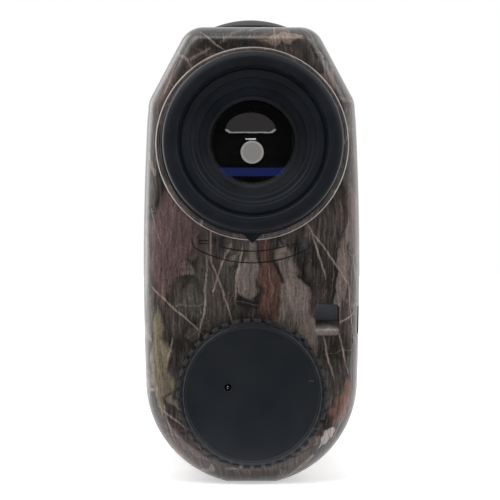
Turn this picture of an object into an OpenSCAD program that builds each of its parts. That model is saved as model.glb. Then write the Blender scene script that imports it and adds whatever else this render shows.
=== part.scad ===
// Compact upright laser rangefinder, millimetres.
// +Z is up, the eyepiece looks towards -Y and the objective towards +Y.
// The origin is at the middle of the overall box, on the foot.

/* [Housing] */
// Width of the housing at its widest
body_w = 34.2; // [28.5:0.1:41]
// Height of the housing from the foot to the top, without the button
body_h = 71.9; // [69:0.1:87]
// Length of the housing from the rear face to the front face
body_l = 78; // [72:0.5:94]
// Thickness of the housing wall
wall = 1.6; // [1.3:0.1:2.0]
// How much narrower each side is at the shoulder than at the widest
side_bow = 0.75; // [0.2:0.05:1.5]
// Lean of the shoulder chamfers from upright, in degrees
shoulder_lean = 28; // [22:1:32]
// Height of the shoulder chamfers
shoulder_h = 11.9; // [9:0.1:13]
// Length of the rear cover
cover_l = 8; // [7:0.5:9]
// Length of the front bezel
bezel_l = 7; // [6:0.5:8]

/* [Eyepiece] */
// How far the eyecup stands behind the rear face
cup_l = 11; // [10:0.1:13]
// Outer diameter of the rubber eyecup
cup_d = 27.8; // [26.6:0.1:28.2]
// Outer diameter of the diopter ring
ring_d = 30.2; // [29:0.1:30.6]
// Distance of the optical axis below the top
axis_drop = 18.7; // [17:0.1:19]
// Diameter of the eye lens
eye_lens_d = 15.6; // [14.6:0.1:16.6]
// Inner diameter of the eyepiece barrel
barrel_d = 20.8; // [20.8:0.1:21.4]
// Turn of the diopter ring each way, in degrees
diopter_turn = 28; // [20:1:32]
// Travel of the eyepiece cell each way
diopter_travel = 0.8; // [0.5:0.1:1.0]

/* [Objective and receiver] */
// Diameter of the objective lens
objective_d = 20.8; // [18:0.1:21.4]
// How far the objective hood stands before the front face
hood_l = 2; // [1.5:0.1:4]
// Height of the receiver axis above the foot
receiver_z = 18; // [17:0.1:20]
// Diameter of the receiver lens
receiver_d = 19.2; // [16:0.1:20]

/* [Battery] */
// Diameter of the battery cell
cell_d = 15.6; // [14.5:0.1:16]
// Length of the battery cell with its nub
cell_l = 27; // [20:0.5:34]
// Height of the battery axis above the foot
battery_z = 14.1; // [14:0.1:16]
// Diameter of the cap over its scallops
cap_d = 23.6; // [22.6:0.1:24.4]
// Height of the cap above the rear face
cap_h = 3.2; // [2.6:0.1:4]
// Number of scallops round the cap
scallops = 42; // [24:2:60]
// Length of the cap's threaded spigot
spigot_l = 3.5; // [3:0.1:4]

/* [Button] */
// Width of the power button
button_w = 13.2; // [10:0.1:13.6]
// Length of the power button
button_l = 17; // [14:0.1:18.6]
// Height of the button's crown above the housing
button_rise = 2.2; // [1.6:0.1:2.8]
// Travel of the button
button_travel = 0.6; // [0.3:0.1:0.6]
// Distance of the button's middle from the rear face
button_setback = 18.5; // [18.5:0.5:30]

/* [Lanyard eyelet] */
// Width of the eyelet
eyelet_w = 3.8; // [3:0.1:4]
// Height of the eyelet
eyelet_h = 4.9; // [4:0.1:6]
// Height of the eyelet's middle above the foot
eyelet_z = 25.6; // [25.5:0.1:30]
// Thickness of the post that the lanyard goes round
eyelet_post = 2.1; // [1.6:0.1:2.4]

/* [Fits] */
// Radial play of a running or sliding fit
run_fit = 0.06; // [0.04:0.01:0.1]
// Gap between parts that only pass each other
gap = 0.3; // [0.2:0.05:0.4]
// Play round the button
button_fit = 0.15; // [0.1:0.01:0.2]
// Play round the battery cell
cell_fit = 0.3; // [0.2:0.05:0.4]

/* [Hidden] */
$fn = 96;
eps = 0.05;

// Planes along Y
overall_l = cup_l + body_l + hood_l;
rear_y = cup_l - overall_l / 2;
front_y = rear_y + body_l;
cover_y = rear_y + cover_l;
bezel_y = front_y - bezel_l;
rear_wall = wall + 0.2;
rear_in_y = rear_y + rear_wall;
front_in_y = front_y - wall;
gasket_t = 0.4;

// Outline of the housing
widest_z = 34;
foot_lift = 0.45;
belly_z = 16;
shoulder_r = 4;
top_r = 4;
shoulder_z = body_h - shoulder_h;
function half_w(z) = body_w / 2 - side_bow * pow((z - widest_z) / (shoulder_z - widest_z), 2);
shoulder_x = half_w(shoulder_z);
top_x = shoulder_x - shoulder_h * tan(shoulder_lean);
shoulder_tangent = shoulder_r * tan(shoulder_lean / 2);
top_tangent = top_r * tan((90 - shoulder_lean) / 2);
foot_angle = acos(belly_z / (belly_z + foot_lift));
function arc(cx, cz, r, from, to, steps) =
    [for (i = [0:steps]) let (a = from + (to - from) * i / steps) [cx + r * cos(a), cz + r * sin(a)]];
function right_side() = concat(
    [for (i = [0:14]) let (a = foot_angle + (90 - foot_angle) * i / 14)
        [half_w(belly_z) * sin(a), belly_z - (belly_z + foot_lift) * cos(a)]],
    [for (i = [1:6]) let (z = belly_z + (shoulder_z - shoulder_tangent - belly_z) * i / 7) [half_w(z), z]],
    arc(shoulder_x - shoulder_r, shoulder_z - shoulder_tangent, shoulder_r, 0, shoulder_lean, 3),
    arc(top_x - top_tangent, body_h - top_r, top_r, shoulder_lean, 90, 5));
function mirrored(points) = [for (i = [len(points) - 1:-1:0]) [-points[i][0], points[i][1]]];

// Eyepiece
axis_z = body_h - axis_drop;
barrel_r = barrel_d / 2;
barrel_wall = 1.2;
sleeve_r = barrel_r + barrel_wall;
barrel_back_y = rear_y - 4.5;
barrel_front_y = rear_y + 16.5;
cup_back_y = rear_y - cup_l;
ring_back_y = rear_y - 5;
ring_front_y = rear_y - gap;
cup_foot_y = rear_y - 2.6;
cell_r = barrel_r - run_fit;
cell_back_y = cup_back_y + 5.2;
cell_front_y = barrel_front_y - 3;
retainer_t = 0.7;
retainer_r = sleeve_r + 0.6;
hug_t = 0.9;
pin_r = 0.6;
pin_y = rear_y - 2.3;
slot_depth = 0.9;
stem_r = eye_lens_d / 2 - 0.7;

// Prisms and display
prism_half = 9;
cage_wall = 1.2;
cage_half = prism_half + cage_wall;
display_y = barrel_front_y + 0.6;
display_half = 9.5;
cage_y = display_y + 3.2;
cage_l = 23;
laser_z = axis_z - cage_half - 3.6;

// Objective
objective_r = objective_d / 2;
cell_wall = 1.2;
objective_back_y = front_y - 15;
crown_y = front_y - 3.8;
flint_t = 1.8;
crown_t = 3.2;
nut_t = 1.2;
hood_step = 0.3;
baffle_y = cage_y + cage_l + 0.5;

// Battery compartment
tube_in_r = cell_d / 2 + cell_fit;
tube_wall = 1;
spigot_r = tube_in_r + 1.35;
mouth_in_r = spigot_r + 0.09;
mouth_r = mouth_in_r + 1.05;
mouth_l = spigot_l + 1;
cell_back = rear_y + spigot_l + 0.5;
tube_end_y = cell_back + cell_l + 1.4;
cap_gap = 0.2;
cap_back_y = rear_y - cap_h;
cap_face_y = rear_y - cap_gap;
scallop_r = 0.62;
disc_r = tube_in_r - 0.45;
disc_t = 0.5;
spring_wire = 0.3;

// Receiver
receiver_r = receiver_d / 2;
receiver_lens_t = 3.4;
receiver_lens_y = front_y - 4.6;
receiver_board_y = tube_end_y + 2.4;
diode_y = receiver_board_y + 1;
cone_back_y = diode_y + 5;

// Electronics
board_z = 33.2;
board_t = 1;
board_half = body_w / 2 - wall - 2.5;
board_y0 = rear_y + 12;
board_y1 = front_y - 12;
frame_z = board_z - 3.4;
frame_t = 1.4;

// Button
button_y = rear_y + button_setback;
flange_edge = 1.0;
flange_t = 0.8;
seal_t = 0.4;
seal_z = body_h - wall - seal_t;
flange_top = seal_z - 0.05;
flange_bottom = flange_top - flange_t;
switch_board_t = 0.7;
switch_board_z = axis_z + max(cage_half, sleeve_r) + 0.3;
switch_base_z = switch_board_z + switch_board_t;
plunger_r = 1.1;
switch_body_h = 1.6;
plunger_top = switch_base_z + switch_body_h + button_travel + 0.1;
stem_bottom = plunger_top;

// Lanyard eyelet
eyelet_x1 = half_w(eyelet_z) - 3.3;
eyelet_x0 = eyelet_x1 - eyelet_w;
eyelet_depth = 4.9;
eyelet_wall = 1.2;

// Helpers: every round part turns about an axis along Y
module at_y(y, z = 0, x = 0) translate([x, y, z]) rotate([-90, 0, 0]) children();
module rod(r, y0, y1, z, x = 0) at_y(y0, z, x) cylinder(r = r, h = y1 - y0);
module cone(r0, r1, y0, y1, z) at_y(y0, z) cylinder(r1 = r0, r2 = r1, h = y1 - y0);
module ring(r_out, r_in, y0, y1, z) difference() {
    rod(r_out, y0, y1, z);
    rod(r_in, y0 - eps, y1 + eps, z);
}
module turned(points, z) at_y(0, z) rotate_extrude() polygon(points);
module o_ring(r, thick, y, z) at_y(y, z) rotate_extrude() translate([r, 0]) circle(r = thick / 2, $fn = 24);
module stadium_flat(w, l) union() {
    square([w, l - w], center = true);
    for (s = [-1, 1]) translate([0, s * (l - w) / 2]) circle(d = w);
}
module stadium(w, l, h) linear_extrude(h) stadium_flat(w, l);
module centred_box(w, l, h, x, y, z) translate([x - w / 2, y, z]) cube([w, l, h]);
module screw(head_r, head_t, shank_r, shank_l) union() {
    cylinder(r = head_r, h = head_t, $fn = 24);
    translate([0, 0, -shank_l]) cylinder(r = shank_r, h = shank_l + eps, $fn = 24);
}

// Housing: one skin over cross sections that draw in towards the rounded ends
rear_round = [2.8, 4.2];
front_round = [2.8, 4.8];
function end_inset(d, round) = d >= round[1] ? 0 : round[0] * (1 - sqrt(1 - pow(1 - d / round[1], 2)));
function skin_inset(y) = max(end_inset(y - rear_y, rear_round), end_inset(front_y - y, front_round));
function unit(v) = v / norm(v);
function drawn_in(points, inset) = let (n = len(points)) [for (i = [0:n - 1])
    let (along = unit(points[(i + 1) % n] - points[(i + n - 1) % n]))
        [points[i][0] - inset * along[1], points[i][1] + inset * along[0]]];
whole_outline = concat(right_side(), mirrored(right_side()));
module skin(places, inset = 0) {
    n = len(whole_outline);
    rings = [for (y = places) [for (p = drawn_in(whole_outline, inset + skin_inset(y))) [p[0], y, p[1]]]];
    polyhedron(
        points = [for (r = rings, p = r) p],
        faces = concat(
            [[for (i = [n - 1:-1:0]) i]],
            [for (k = [0:len(rings) - 2], i = [0:n - 1]) let (a = k * n + i, b = k * n + (i + 1) % n) [a, b, b + n]],
            [for (k = [0:len(rings) - 2], i = [0:n - 1]) let (a = k * n + i, b = k * n + (i + 1) % n) [a, b + n, a + n]],
            [[for (i = [0:n - 1]) (len(rings) - 1) * n + i]]));
}
round_steps = [0:15:90];
rear_places = [for (t = round_steps) rear_y + rear_round[1] * (1 - cos(t))];
front_places = [for (t = round_steps) front_y - front_round[1] * sin(t)];
module cover_shell() difference() {
    skin(concat(rear_places, [cover_y]));
    skin([rear_in_y, rear_y + rear_round[1], cover_y + eps], wall);
}
module sleeve(y0, y1) difference() {
    skin([y0, y1]);
    skin([y0 - eps, y1 + eps], wall);
}
module bezel_shell() difference() {
    skin(concat([bezel_y], [for (i = [len(front_places) - 1:-1:0]) front_places[i]]));
    skin([bezel_y - eps, front_y - front_round[1], front_in_y], wall);
}
cover_posts = [[-1, 0], [1, 0], [-1, 1], [1, 1]];
function post_x(p) = p[0] * (body_w / 2 - wall - 1.9);
function post_z(p) = frame_z + 3.4 + 3.8 * p[1];
post_end_y = cover_y - gasket_t - 2;
tab_t = 1;
post_r = 1.7;
module rear_cover() color([0.42, 0.36, 0.32]) difference() {
    union() {
        cover_shell();
        rod(ring_d / 2 - 0.4, rear_y, rear_in_y, axis_z);
        translate([eyelet_x0 - eyelet_wall, rear_y + wall / 2, eyelet_z - eyelet_h / 2 - eyelet_wall])
            cube([half_w(eyelet_z) - 1.4 - eyelet_x0 + eyelet_wall, eyelet_depth + eyelet_wall - wall / 2,
                eyelet_h + 2 * eyelet_wall]);
        for (p = cover_posts)
            rod(post_r, rear_in_y - eps, post_end_y, post_z(p), post_x(p));
    }
    rod(sleeve_r + 0.02, rear_y - 1, rear_in_y + 1, axis_z);
    rod(mouth_r + 0.02, rear_y - 1, rear_in_y + 1, battery_z);
    translate([eyelet_x0, rear_y - 1, eyelet_z - eyelet_h / 2])
        cube([eyelet_w, eyelet_depth + 1, eyelet_h]);
    translate([eyelet_x0, rear_y + eyelet_post, eyelet_z - eyelet_h / 2])
        cube([body_w, eyelet_depth - eyelet_post, eyelet_h]);
    for (p = cover_posts) rod(0.5, rear_in_y + 1, cover_y, post_z(p), post_x(p));
}
module main_casing() color([0.45, 0.40, 0.33]) difference() {
    sleeve(cover_y + gasket_t, bezel_y - gasket_t);
    translate([0, button_y, body_h - wall - 1]) stadium(button_w + 2 * button_fit, button_l + 2 * button_fit, wall + 2);
}
module front_bezel() color([0.12, 0.12, 0.13]) difference() {
    union() {
        bezel_shell();
        rod(objective_r + 3.2, front_in_y, front_y + hood_l, axis_z);
        rod(receiver_r + 2.2, front_in_y, front_y + 1, receiver_z);
    }
    rod(objective_r + cell_wall + 0.02, bezel_y, front_y - 1, axis_z);
    rod(objective_r + hood_step, front_y - 1 - eps, front_y + hood_l + 1, axis_z);
    rod(receiver_r + cell_wall, bezel_y, front_y - 1, receiver_z);
    rod(receiver_r - 0.6, front_y - 2, front_y + 2, receiver_z);
}
module gasket_at(y) color([0.08, 0.08, 0.09]) sleeve(y, y + gasket_t);
module rear_gasket() gasket_at(cover_y);
module front_gasket() gasket_at(bezel_y - gasket_t);

frame_half = body_w / 2 - wall - 0.5;
cage_posts = [cage_y + 4, cage_y + cage_l - 4];
board_posts = [board_y0 + 3, board_y1 - 3];
module inner_frame() color([0.2, 0.2, 0.22]) difference() {
    union() {
        translate([-frame_half, post_end_y, frame_z]) cube([2 * frame_half, bezel_y - post_end_y - 1, frame_t]);
        for (s = [-1, 1])
            translate([s > 0 ? frame_half - 3.6 : -frame_half, post_end_y, frame_z]) cube([3.6, tab_t, 9.2]);
        for (s = [-1, 1], y = board_posts)
            translate([s * (board_half - 1.8), y, frame_z]) cylinder(r = 1.5, h = board_z - frame_z);
        for (s = [-1, 1]) {
            translate([s * (board_half + 0.9) - 0.6, cage_posts[0] - 2, frame_z])
                cube([1.2, cage_posts[1] - cage_posts[0] + 4, axis_z - cage_half - frame_z]);
            translate([s > 0 ? cage_half - 2 : -board_half - 1.5, cage_posts[0] - 2, axis_z - cage_half - 1.2])
                cube([board_half + 1.5 - cage_half + 2, cage_posts[1] - cage_posts[0] + 4, 1.2]);
        }
    }
    for (s = [-1, 1], y = board_posts)
        translate([s * (board_half - 1.8), y, frame_z - 1]) cylinder(r = 0.6, h = board_z);
    for (s = [-1, 1], y = cage_posts)
        translate([s * (cage_half - 1), y, axis_z - cage_half - 3]) cylinder(r = 0.55, h = 4);
    for (p = cover_posts) rod(0.6, post_end_y - 1, post_end_y + 2, post_z(p), post_x(p));
}
module cover_screws() color([0.7, 0.7, 0.72]) for (p = cover_posts)
    at_y(post_end_y + tab_t, post_z(p), post_x(p)) screw(1.1, 0.7, 0.48, 3.4);

// Eyepiece, fixed parts
module eyepiece_barrel() color([0.15, 0.15, 0.16]) difference() {
    union() {
        rod(sleeve_r, barrel_back_y, barrel_front_y, axis_z);
        rod(sleeve_r + 1.2, rear_in_y, rear_in_y + 1.2, axis_z);
    }
    rod(barrel_r, barrel_back_y - 1, barrel_front_y + 1, axis_z);
    for (d = [-1:0.25:1])
        translate([0, pin_y + d * (diopter_travel + 0.1), axis_z - sleeve_r - 1])
            cylinder(r = pin_r + run_fit, h = barrel_wall + 2, $fn = 32);
}
module ring_retainer() color([0.6, 0.6, 0.62])
    ring(retainer_r, barrel_r + 0.1, barrel_back_y - retainer_t, barrel_back_y, axis_z);

// Eyepiece, turning parts
module diopter_ring() color([0.40, 0.35, 0.30]) difference() {
    turned([[sleeve_r + run_fit, ring_back_y], [cup_d / 2 - hug_t, ring_back_y], [cup_d / 2 - hug_t, cup_foot_y],
        [ring_d / 2 - 0.3, cup_foot_y], [ring_d / 2, cup_foot_y + 0.3], [ring_d / 2, ring_front_y],
        [sleeve_r + run_fit, ring_front_y]], axis_z);
    rod(retainer_r + 0.1, ring_back_y - 1, barrel_back_y + 0.1, axis_z);
    for (d = [-1.1:0.1:1.1])
        translate([0, 0, axis_z]) rotate([0, d * diopter_turn, 0])
            translate([0, pin_y + d * diopter_travel, -sleeve_r - slot_depth])
                cylinder(r = pin_r + 0.1, h = slot_depth + 1, $fn = 32);
}
flange_l = 1.2;
cup_flange_r = cup_d / 2 + 0.35;
step_1 = cup_d / 2 - 2.5;
step_2 = step_1 - 1.9;
step_3 = step_2 - 1.1;
module eyecup() color([0.10, 0.11, 0.13]) union() {
    turned([[stem_r, cup_back_y + 3.4], [step_3, cup_back_y + 2.2], [step_3, cup_back_y + 1.5],
        [step_2, cup_back_y + 1.5], [step_2, cup_back_y + 0.7], [step_1, cup_back_y + 0.7],
        [step_1, cup_back_y + 0.25], [step_1 + 0.25, cup_back_y], [cup_d / 2 - 0.5, cup_back_y],
        [cup_d / 2, cup_back_y + 0.5], [cup_d / 2, cup_foot_y - flange_l], [cup_flange_r, cup_foot_y - flange_l],
        [cup_flange_r, cup_foot_y], [cup_d / 2 - hug_t, cup_foot_y],
        [cup_d / 2 - hug_t, ring_back_y], [retainer_r + 0.1, ring_back_y],
        [retainer_r + 0.1, cup_back_y + 4.1], [stem_r, cup_back_y + 4.1]], axis_z);
    translate([0, cup_foot_y, axis_z - cup_flange_r + 0.5]) rotate([90, 0, 0])
        linear_extrude(flange_l) polygon([[-1.6, 0], [1.6, 0], [0, -1.8]]);
}

// Eyepiece, sliding cell
field_lens_y = cell_front_y - 6;
seal_y = cell_front_y - 4;
module ocular_cell() color([0.18, 0.18, 0.2]) difference() {
    rod(cell_r, cell_back_y, cell_front_y, axis_z);
    rod(eye_lens_d / 2 - 0.6, cell_back_y - 1, cell_front_y + 1, axis_z);
    rod(eye_lens_d / 2, cell_back_y + 0.7, cell_front_y + 1, axis_z);
    translate([0, pin_y, axis_z - cell_r - 1]) cylinder(r = pin_r, h = 2.2, $fn = 32);
    ring(cell_r + 1, cell_r - 0.75, seal_y - 0.5, seal_y + 0.5, axis_z);
}
module cell_o_ring() color([0.05, 0.05, 0.05]) o_ring(cell_r - 0.36, 0.72, seal_y, axis_z);
module dome(r, sag, y, z, back = true) at_y(y, z) mirror([0, 0, back ? 1 : 0]) intersection() {
    translate([0, 0, sag - (r * r + sag * sag) / (2 * sag)]) sphere(r = (r * r + sag * sag) / (2 * sag));
    cylinder(r = r, h = sag);
}
lens_r = eye_lens_d / 2 - 0.01;
module eye_lens() color([0.5, 0.6, 0.8, 0.5]) union() {
    rod(lens_r, cell_back_y + 0.7, cell_back_y + 3.2, axis_z);
    dome(lens_r - 0.61, 0.7, cell_back_y + 0.71, axis_z, true);
}
module ocular_spacer() color([0.1, 0.1, 0.1]) ring(lens_r, lens_r - 0.8, cell_back_y + 3.2, field_lens_y, axis_z);
module field_lens() color([0.5, 0.6, 0.8, 0.5]) rod(lens_r, field_lens_y, field_lens_y + 2.6, axis_z);
module ocular_nut() color([0.1, 0.1, 0.1]) ring(lens_r, lens_r - 1.2, field_lens_y + 2.6, field_lens_y + 4, axis_z);
module cam_pin() color([0.75, 0.75, 0.76])
    translate([0, pin_y, axis_z - sleeve_r - slot_depth + 0.2]) cylinder(r = pin_r - 0.01, h = barrel_wall + 1.6, $fn = 32);

// Display and prisms
module display_frame() color([0.15, 0.15, 0.15]) difference() {
    centred_box(2 * display_half, 2, 2 * display_half, 0, display_y, axis_z - display_half);
    centred_box(2 * display_half - 3, 1.2, 2 * display_half - 3, 0, display_y - 0.01, axis_z - display_half + 1.5);
    rod(6.5, display_y - 1, display_y + 4, axis_z);
}
module display_panel() color([0.7, 0.75, 0.72, 0.6])
    centred_box(2 * display_half - 3.1, 1.1, 2 * display_half - 3.1, 0, display_y, axis_z - display_half + 1.55);
module display_flex() color([0.75, 0.5, 0.15]) union() {
    centred_box(8, 0.15, axis_z - display_half - board_z - board_t, 0, display_y + 0.6, board_z + board_t);
    centred_box(8, 4, 0.15, 0, display_y + 0.6, board_z + board_t);
}
module prism_cage() color([0.22, 0.22, 0.24]) difference() {
    centred_box(2 * cage_half, cage_l, 2 * cage_half, 0, cage_y, axis_z - cage_half);
    centred_box(2 * prism_half, cage_l - 2 * cage_wall, 2 * prism_half, 0, cage_y + cage_wall, axis_z - prism_half);
    rod(6.5, cage_y - 1, cage_y + cage_l + 1, axis_z);
    for (s = [-1, 1], y = cage_posts)
        translate([s * (cage_half - 1), y, axis_z - cage_half - 1]) cylinder(r = 0.45, h = 4);
    rod(1, cage_y - 1, cage_y + cage_l / 2, axis_z - prism_half - 2);
}
prism_y0 = cage_y + cage_wall + 0.1;
prism_y1 = cage_y + cage_l - cage_wall - 0.1;
module prism_profile(points) rotate([90, 0, 90]) translate([0, 0, -prism_half + 1.2])
    linear_extrude(2 * (prism_half - 1.2)) polygon(points);
module half_prism() color([0.6, 0.75, 0.85, 0.5]) translate([0, prism_y0, axis_z])
    prism_profile([[0, -7.5], [8.6, -7.5], [1.0, 8.6], [0, 8.6]]);
module roof_prism() color([0.6, 0.8, 0.85, 0.5]) translate([0, prism_y1, axis_z])
    prism_profile([[0, -8.6], [0, 7.5], [-18.6, 8.6], [-10.2, -8.6]]);
module cage_screws() color([0.7, 0.7, 0.72]) for (s = [-1, 1], y = cage_posts)
    translate([s * (cage_half - 1), y, axis_z - cage_half - 1.2]) mirror([0, 0, 1]) screw(1, 0.6, 0.44, 2.6);
module laser_holder() color([0.5, 0.5, 0.52]) difference() {
    centred_box(9, 8, 6.8, 0, cage_y + 6, laser_z - 3.3);
    rod(2.85, cage_y + 5, cage_y + 12, laser_z);
    rod(1.6, cage_y + 5, cage_y + 15, laser_z);
}
module laser_diode() color([0.8, 0.65, 0.3]) union() {
    rod(2.8, cage_y + 5.5, cage_y + 6.6, laser_z);
    rod(2.3, cage_y + 5.5, cage_y + 9.5, laser_z);
    for (a = [90, 210, 330])
        rod(0.25, cage_y + 2.5, cage_y + 5.6, laser_z + 1.2 * sin(a), 1.2 * cos(a));
}

// Front optics
module objective_tube() color([0.12, 0.12, 0.12]) difference() {
    cone(8.4, objective_r, baffle_y, objective_back_y, axis_z);
    cone(7.4, objective_r - 1, baffle_y - eps, objective_back_y + eps, axis_z);
}
module objective_cell() color([0.1, 0.1, 0.11]) difference() {
    rod(objective_r + cell_wall, objective_back_y, front_y - 1, axis_z);
    rod(objective_r - 1, objective_back_y - 1, front_y, axis_z);
    rod(objective_r, crown_y - flint_t - crown_t, front_y, axis_z);
}
glass_r = objective_r - 0.01;
module objective_crown() color([0.5, 0.6, 0.8, 0.5]) union() {
    rod(glass_r, crown_y - crown_t, crown_y - 1.2, axis_z);
    dome(glass_r, 1.2, crown_y - 1.21, axis_z, false);
}
module objective_flint() color([0.55, 0.65, 0.8, 0.5])
    rod(glass_r, crown_y - crown_t - flint_t, crown_y - crown_t, axis_z);
module objective_nut() color([0.1, 0.1, 0.1])
    ring(glass_r, objective_r - 0.7, crown_y + 0.02, crown_y + nut_t, axis_z);

// Receiver
module receiver_lens() color([0.35, 0.2, 0.25, 0.7]) union() {
    rod(receiver_r - 0.02, receiver_lens_y - receiver_lens_t, receiver_lens_y, receiver_z);
    dome(receiver_r - 0.62, 1.3, receiver_lens_y - 0.01, receiver_z, false);
}
module receiver_nut() color([0.1, 0.1, 0.1])
    ring(receiver_r + cell_wall - 0.05, receiver_r - 0.6, receiver_lens_y + 0.02, receiver_lens_y + 1.4, receiver_z);
module receiver_cone() color([0.12, 0.12, 0.13]) difference() {
    union() {
        cone(5, receiver_r + 0.8, cone_back_y, receiver_lens_y - receiver_lens_t - 4, receiver_z);
        rod(receiver_r + 0.8, receiver_lens_y - receiver_lens_t - 4 - eps, receiver_lens_y, receiver_z);
    }
    cone(4, receiver_r - 0.4, cone_back_y - eps, receiver_lens_y - receiver_lens_t - 4, receiver_z);
    rod(receiver_r - 0.4, receiver_lens_y - receiver_lens_t - 4.1, receiver_lens_y - receiver_lens_t + eps, receiver_z);
    rod(receiver_r, receiver_lens_y - receiver_lens_t, receiver_lens_y + 1, receiver_z);
}
module receiver_filter() color([0.5, 0.15, 0.2, 0.7]) rod(3.9, cone_back_y - 1.1, cone_back_y - 0.1, receiver_z);
module photodiode() color([0.8, 0.65, 0.3]) union() {
    rod(2.7, diode_y, diode_y + 0.8, receiver_z);
    rod(2.2, diode_y, diode_y + 3.6, receiver_z);
}
module receiver_board() color([0.1, 0.35, 0.2]) rod(8.2, receiver_board_y, receiver_board_y + 1, receiver_z);

// Electronics
module main_board() color([0.1, 0.35, 0.2]) difference() {
    centred_box(2 * board_half, board_y1 - board_y0, board_t, 0, board_y0, board_z);
    for (s = [-1, 1], y = board_posts)
        translate([s * (board_half - 1.8), y, board_z - 1]) cylinder(r = 0.7, h = 3);
}
board_top = board_z + board_t;
chip_y = board_y0 + 12;
module chip(w, l, h, x, y, legs) union() {
    centred_box(w, l, h, x, y, board_top);
    for (s = [-1, 1], i = [0:legs - 1])
        centred_box(0.8, 0.35, 0.3, x + s * (w / 2 + 0.35), y + l * (i + 0.5) / legs - 0.17, board_top);
}
module processor_chip() color([0.08, 0.08, 0.09]) chip(8, 8, 1.1, -2.5, chip_y, 8);
module board_chips() color([0.1, 0.1, 0.11]) union() {
    chip(3.6, 4.6, 1.0, 6.5, chip_y + 1, 4);
    chip(3.6, 3.6, 1.0, -4, chip_y + 12, 3);
    chip(3, 3, 0.9, 5, chip_y + 12, 3);
}
module shield_can() color([0.75, 0.75, 0.77])
    centred_box(12, 9, 2.4, 0, board_y1 - 16, board_top);
module capacitors() color([0.65, 0.55, 0.4]) union() {
    for (i = [0:4]) centred_box(0.8, 1.6, 0.8, -board_half + 5 + 1.8 * i, chip_y + 20, board_top);
    for (i = [0:3]) centred_box(1.6, 0.8, 0.8, 6.5, chip_y + 18 + 1.6 * i, board_top);
}
module board_screws() color([0.7, 0.7, 0.72]) for (s = [-1, 1], y = board_posts)
    translate([s * (board_half - 1.8), y, board_top]) screw(1.3, 0.8, 0.55, 3);

// Button and its switch
module power_button() color([0.12, 0.13, 0.15]) union() {
    translate([0, button_y, flange_bottom]) stadium(button_w, button_l, body_h - flange_bottom + 0.4);
    hull() for (level = [[0.4, 0], [button_rise * 0.6, 1.2], [button_rise * 0.85, 3.4], [button_rise, 7]])
        translate([0, button_y, body_h + level[0] - 0.05])
            linear_extrude(0.05) stadium_flat(button_w - level[1], button_l - level[1], $fn = 32);
    translate([0, button_y, flange_bottom])
        stadium(button_w + 2 * flange_edge, button_l + 2 * flange_edge, flange_t);
    translate([0, button_y, stem_bottom]) cylinder(r = 1.6, h = flange_bottom - stem_bottom + eps);
}
module button_seal() color([0.06, 0.06, 0.07]) translate([0, button_y, seal_z]) difference() {
    stadium(button_w + 2 * flange_edge, button_l + 2 * flange_edge, seal_t);
    translate([0, 0, -1]) stadium(button_w + 2 * button_fit, button_l + 2 * button_fit, seal_t + 2);
}
module switch_board() color([0.1, 0.35, 0.2])
    translate([-7, min(button_y - 7, flex_y), switch_board_z])
        cube([14, button_y + 7 - min(button_y - 7, flex_y), switch_board_t]);
module tact_switch() color([0.1, 0.1, 0.1]) difference() {
    translate([-3, button_y - 3, switch_base_z]) cube([6, 6, switch_body_h]);
    translate([0, button_y, switch_base_z + 0.3]) cylinder(r = plunger_r + 0.1, h = switch_body_h);
}
module switch_plunger() color([0.75, 0.7, 0.6])
    translate([0, button_y, switch_base_z + 0.35 + button_travel])
        cylinder(r = plunger_r, h = plunger_top - switch_base_z - 0.35 - button_travel);
flex_x = cage_half + 0.25;
flex_y = cage_posts[0] - 5.4;
module switch_flex() color([0.75, 0.5, 0.15]) union() {
    translate([7, flex_y, switch_board_z + 0.2]) cube([flex_x - 7, 3, 0.15]);
    translate([flex_x, flex_y, board_top]) cube([0.15, 3, switch_board_z + 0.35 - board_top]);
}

// Battery compartment
module battery_tube() color([0.2, 0.2, 0.22]) difference() {
    union() {
        rod(tube_in_r + tube_wall, rear_in_y, tube_end_y, battery_z);
        rod(mouth_r, rear_y, rear_y + mouth_l, battery_z);
    }
    rod(mouth_in_r, rear_y - 1, rear_y + spigot_l + 0.3, battery_z);
    rod(tube_in_r, rear_y - 1, tube_end_y - 1, battery_z);
    translate([-1.6, tube_end_y - 2, battery_z - 0.5]) cube([3.2, 4, 1]);
}
module positive_contact() color([0.8, 0.7, 0.4]) union() {
    rod(3, tube_end_y - 1.25, tube_end_y - 1, battery_z);
    translate([-1.5, tube_end_y - 1.05, battery_z - 0.15]) cube([3, 1.9, 0.3]);
    translate([-1.5, tube_end_y + 0.55, battery_z - 0.15]) cube([3, 0.3, frame_z - battery_z - 0.1]);
}
nub_l = 1.1;
module battery_cell() color([0.75, 0.6, 0.25]) union() {
    rod(cell_d / 2, cell_back, cell_back + cell_l - nub_l, battery_z);
    rod(3, cell_back + cell_l - nub_l - eps, cell_back + cell_l, battery_z);
}
module battery_cap() color([0.10, 0.11, 0.13]) difference() {
    union() {
        turned([[0, cap_back_y], [cap_d / 2 - 1.35, cap_back_y], [cap_d / 2 - 1.05, cap_back_y + 0.3],
            [cap_d / 2 - 0.75, cap_back_y + 0.6], [cap_d / 2 - 0.3, cap_back_y + 0.75],
            [cap_d / 2, cap_back_y + 1.05], [cap_d / 2, cap_face_y], [0, cap_face_y]], battery_z);
        rod(spigot_r, cap_face_y - eps, rear_y + spigot_l, battery_z);
    }
    for (i = [0:scallops - 1])
        translate([0, 0, battery_z]) rotate([0, 360 * i / scallops, 0])
            rod(scallop_r, cap_back_y + 0.7, cap_face_y + 0.02, cap_d / 2 + 0.12);
    ring(spigot_r + 1, spigot_r - 0.55, cap_face_y + 0.5, cap_face_y + 1.3, battery_z);
    rod(disc_r + 0.1, rear_y + 0.5, rear_y + spigot_l + 1, battery_z);
    rod(0.55, cap_back_y - 1, cap_back_y + 1.2, battery_z + 1.1, -3.8);
}
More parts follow.
